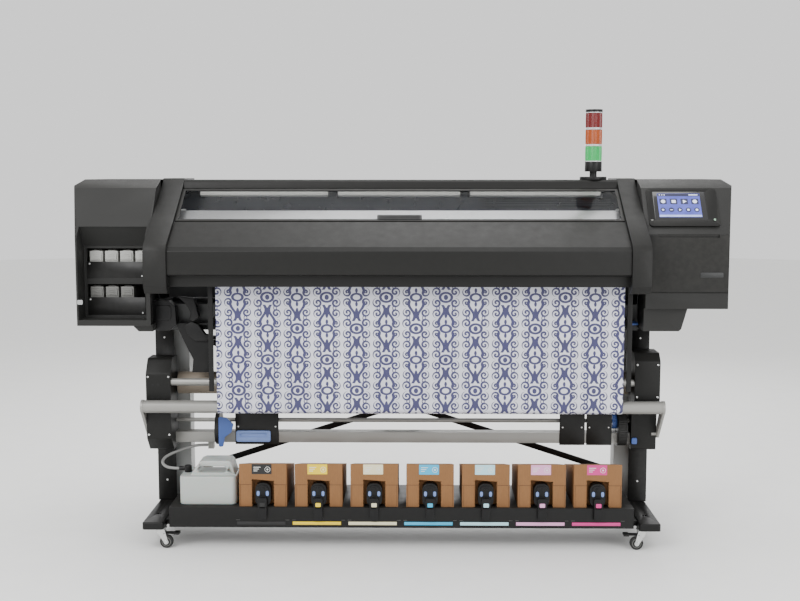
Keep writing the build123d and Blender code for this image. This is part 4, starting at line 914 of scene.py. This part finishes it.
class PRINTER_OT_supplies(BuildStep, bpy.types.Operator):
    """The boxed supplies, their connectors and the shelf's colour strips"""

    bl_idname = "roll_printer.supplies"
    bl_label = "Boxed supplies"

    def build(self, settings):
        strips = bmesh.new()
        for i in range(7):
            x = SUPPLY_FIRST_X + i * SUPPLY_PITCH
            label = FINISHES[f"label_{i}"]
            bm = bmesh.new()
            prism(bm, [(-358, 160.3), (SUPPLY_BACK, 160.3), (SUPPLY_BACK, 254.3), (-358, 323.3)],
                  x - 88.5, x + 88.5)
            doorway = bmesh.new()
            teeth = [(x - 40 - (k % 2) * 3, 264.3 - 6.1 * k) for k in range(18)]
            prism(doorway, [(x + 40 + (k % 2) * 3, 154 + 6.1 * k) for k in range(18)] + teeth,
                  -372, -318, "Y")
            piece(f"supply_carton_{i + 1}", bm, f"supply_{i + 1}", "box_board", [FINISHES["board"]], 1.6,
                  doorway, (f"supply_box_{i + 1}",))
            bm = bmesh.new()
            prism(bm, rounded(x - 4, 303, 74, 38, 1.5), -358.7, -357.7, "Y")
            prism(bm, circle(x + 18, 302, 10.5, 40), -359.1, -358.5, "Y", 1)
            prism(bm, circle(x + 18, 302, 8.8, 40), -359.4, -358.9, "Y")
            prism(bm, circle(x + 18, 302, 3.4, 24), -359.7, -359.1, "Y", 1)
            for k in range(3):
                block(bm, x - 34, x - 8 - 6 * k, -359.1, -358.5, 309 - 7 * k, 311.4 - 7 * k, 1)
            # Dark crease lines across the carton front: painted shade.
            for low, high in ((x - 88.7, x - 42), (x + 42, x + 88.7)):
                block(bm, low, high, -358.5, -357.6, 243, 244.4, 2)
            for side in (-1, 1):
                block(bm, x + side * 84 - 0.5, x + side * 84 + 0.5, -358.5, -357.6, 164, 242, 2)
            piece(f"supply_label_{i + 1}", bm, f"supply_{i + 1}", "box_board",
                  [label, FINISHES["white"], FINISHES["crease_shade"]])
            bm = bmesh.new()
            prism(bm, rounded(x, 205, 58, 88, 24), -357, -317, "Y")
            prism(bm, rounded(x, 214, 44, 56, 20), -364, -355, "Y")
            prism(bm, rounded(x, 179, 34, 38, 8), -384, -350, "Y")
            prism(bm, rounded(x, 140, 32, 50, 9), -384, -372.6, "Y")
            for k in range(4):
                block(bm, x - 12, x + 12, -365.2, -362, 190 + 3.4 * k, 191.6 + 3.4 * k)
            for side in (-1, 1):
                prism(bm, rounded(x + side * 17, 212, 11, 19, 5.4), -366.5, -361, "Y", 1)
            prism(bm, circle(x, 228, 7, 24), -368, -362, "Y")
            prism(bm, rounded(x, 174, 20, 15, 3), -386, -383, "Y", 2)
            piece(f"supply_connector_{i + 1}", bm, f"supply_{i + 1}", "black_plastic",
                  [FINISHES["black"], FINISHES["pale_blue"], label], 1.2)
            block(strips, x - 96, x + 84, -373.4, -371.4, 95, 107, i)
            for side in (-1, 1):
                block(strips, x + side * 92 - 7, x + side * 92 + 7, -373.2, -371.4, 112, 114, 7)
        piece("shelf_strips", strips, "printer", "stand_paint",
              [FINISHES[f"label_{i}"] for i in range(7)] + [FINISHES["chassis"]], 0.4)


class PRINTER_OT_casters(BuildStep, bpy.types.Operator):
    """Tyres, hubs and axle nuts"""

    bl_idname = "roll_printer.casters"
    bl_label = "Casters"

    def build(self, settings):
        for end, side_y in (("front", -1), ("rear", 1)):
            for side, side_x in (("left", -1), ("right", 1)):
                corner = f"{end}_{side}"
                x = side_x * 880
                y = side_y * 355
                bm = bmesh.new()
                turned(bm, [(y - 9.4, 16), (y - 9.8, 21), (y - 8.4, 23.6), (y - 6, 24.8), (y, 25),
                            (y + 6, 24.8), (y + 8.4, 23.6), (y + 9.8, 21), (y + 9.4, 16)], x, 25, "Y", 64)
                turned(bm, [(y - 10, 4.3), (y - 10, 8), (y - 8, 9), (y - 8.4, 14), (y - 9.9, 15.5),
                            (y - 9.6, 17), (y + 9.6, 17), (y + 9.9, 15.5), (y + 8.4, 14), (y + 8, 9),
                            (y + 10, 8), (y + 10, 4.3)], x, 25, "Y", 64, 1)
                piece(f"{corner}_tyre", bm, f"{corner}_wheel", "wheel_rubber",
                      [FINISHES["rubber"], FINISHES["tank_dark"]], stands_for=(f"{corner}_wheel",))
                bm = bmesh.new()
                for low, high in ((y - 20.5, y - 14), (y + 14, y + 20.5)):
                    turned(bm, [(low, 7.4), (high, 7.4)], x, 25, "Y", 6)
                piece(f"{corner}_axle_nuts", bm, f"{corner}_caster", "zinc_steel", [FINISHES["zinc"]], 0.6)


class PRINTER_OT_tower(BuildStep, bpy.types.Operator):
    """The signal tower's ribbed lenses and clear spacers"""

    bl_idname = "roll_printer.tower"
    bl_label = "Signal tower"

    def build(self, settings):
        low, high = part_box("tower_lenses")
        bottom = low[2] / MM
        step = (high[2] - low[2]) / MM / 3
        for i, colour in enumerate(("green", "amber", "red")):
            base = bottom + i * step
            bm = bmesh.new()
            turned(bm, [(base + 4, 29), (base + 4.4, 31.8), (base + step / 2, 32.2),
                        (base + step - 4.4, 31.8), (base + step - 4, 29)], 748, 0, "Z", 144, 0, 0.8)
            for z in (base, base + step - 4):
                turned(bm, [(z + 0.2, 31.5), (z + 0.5, 33), (z + 3.5, 33), (z + 3.8, 31.5)],
                       748, 0, "Z", 72, 1)
            stands = ("tower_lenses",) if i == 0 else ()
            piece(f"tower_lens_{colour}", bm, "printer", "lamp_lens", [FINISHES[colour], FINISHES["ring"]],
                  stands_for=stands)


class PRINTER_OT_film(BuildStep, bpy.types.Operator):
    """The printed film, from the supply roll to the take-up reel"""

    bl_idname = "roll_printer.film"
    bl_label = "Printed film"

    def build(self, settings):
        front = -289.7
        path = rounded_path([(385.7, 700), (385.7, 860), (170, 1172.7), (-152, 1172.7), (front, 1010),
                             (front, 487.5), (-93.2, 542.9)], [60, 40, 30, 60, 24.7])
        travelled = [0.0]
        for before, after in zip(path, path[1:]):
            travelled.append(travelled[-1] + (after - before).length)
        split = min(range(len(path)), key=lambda i: abs(path[i].y - 800) + abs(path[i].x - front) * 9)
        turn = max(i for i in range(len(path)) if path[i].y < 500 and path[i].x < -262)
        marks = [path[split].y + travelled[split] - s for s in travelled]
        upper = film("film_upper", path[:split + 1], marks[:split + 1], settings.ripple)
        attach(upper, "printer")
        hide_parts("media_web")
        run = film("film_front_run", path[split:turn + 1], marks[split:turn + 1], settings.ripple)
        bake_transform(run)
        last = film("film_last_run", path[turn:], marks[turn:], 0.0)
        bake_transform(last)


class PRINTER_OT_takeup(BuildStep, bpy.types.Operator):
    """Knobs, catches, ribs and handles of the take-up"""

    bl_idname = "roll_printer.takeup"
    bl_label = "Take-up details"

    def build(self, settings):
        bm = bmesh.new()
        turned(bm, [(816, 24), (817, 29), (820, 31), (833, 31), (836, 29), (837, 24)],
               -125, 441, "X", 72, 0, 1.4)
        prism(bm, rounded(938, 494, 30, 20, 4), -198, -181, "Y")
        prism(bm, rounded(938, 489, 20, 6, 2), -202, -197, "Y")
        prism(bm, rounded(897, 373, 20, 23, 4), -184, -171, "Y")
        piece("blue_catches", bm, "printer", "touch_blue", [FINISHES["blue"]], 0.8)
        bm = bmesh.new()
        turned(bm, [(836, 60), (837, 66.6), (869, 66.6), (870, 60)], -125, 411, "X", 120, 0, 1.3, False)
        turned(bm, [(-722, 60), (-721.5, 66), (-708.5, 66), (-708, 60)], -125, 411, "X", 120, 0, 1.0, False)
        piece("hub_ribs", bm, "printer", "black_plastic", [FINISHES["black"]])
        bm = bmesh.new()
        slot = bmesh.new()
        prism(bm, rounded(-576, 383, 134, 44, 8), -163, -152, "Y")
        prism(slot, rounded(-576, 388, 104, 16, 7), -170, -156, "Y")
        piece("board_handle", bm, "printer", "touch_blue", [FINISHES["pale_blue"]], 1.4, slot)
        scatter("board_screws", screw(3.4, 2.0),
                [(x, -153, z) for low, high in ((-647, -478), (612, 710), (716, 814))
                 for x in (low + 12, high - 12) for z in (420, 474)],
                "printer", "zinc")


OPERATORS = (PRINTER_OT_stage, PRINTER_OT_hose, PRINTER_OT_frame, PRINTER_OT_details, PRINTER_OT_panel,
             PRINTER_OT_ink_bay, PRINTER_OT_supplies, PRINTER_OT_casters, PRINTER_OT_tower,
             PRINTER_OT_film, PRINTER_OT_takeup)


class PRINTER_PT_sidebar(bpy.types.Panel):
    """Settings and build steps"""

    bl_idname = "PRINTER_PT_sidebar"
    bl_label = "Roll printer"
    bl_space_type = "VIEW_3D"
    bl_region_type = "UI"
    bl_category = "Roll printer"

    def draw(self, context):
        for setting in ("lens", "key_power", "world_power", "ripple"):
            self.layout.prop(context.scene.roll_printer, setting)
        for operator in OPERATORS:
            self.layout.operator(operator.bl_idname)


def register():
    for item in (RollPrinterSettings, *OPERATORS, PRINTER_PT_sidebar):
        bpy.utils.register_class(item)
    bpy.types.Scene.roll_printer = bpy.props.PointerProperty(type=RollPrinterSettings)


def unregister():
    del bpy.types.Scene.roll_printer
    for item in reversed((RollPrinterSettings, *OPERATORS, PRINTER_PT_sidebar)):
        bpy.utils.unregister_class(item)


def main():
    register()
    for operator in OPERATORS:
        group, name = operator.bl_idname.split(".")
        getattr(getattr(bpy.ops, group), name)()


if __name__ == "__main__":
    main()
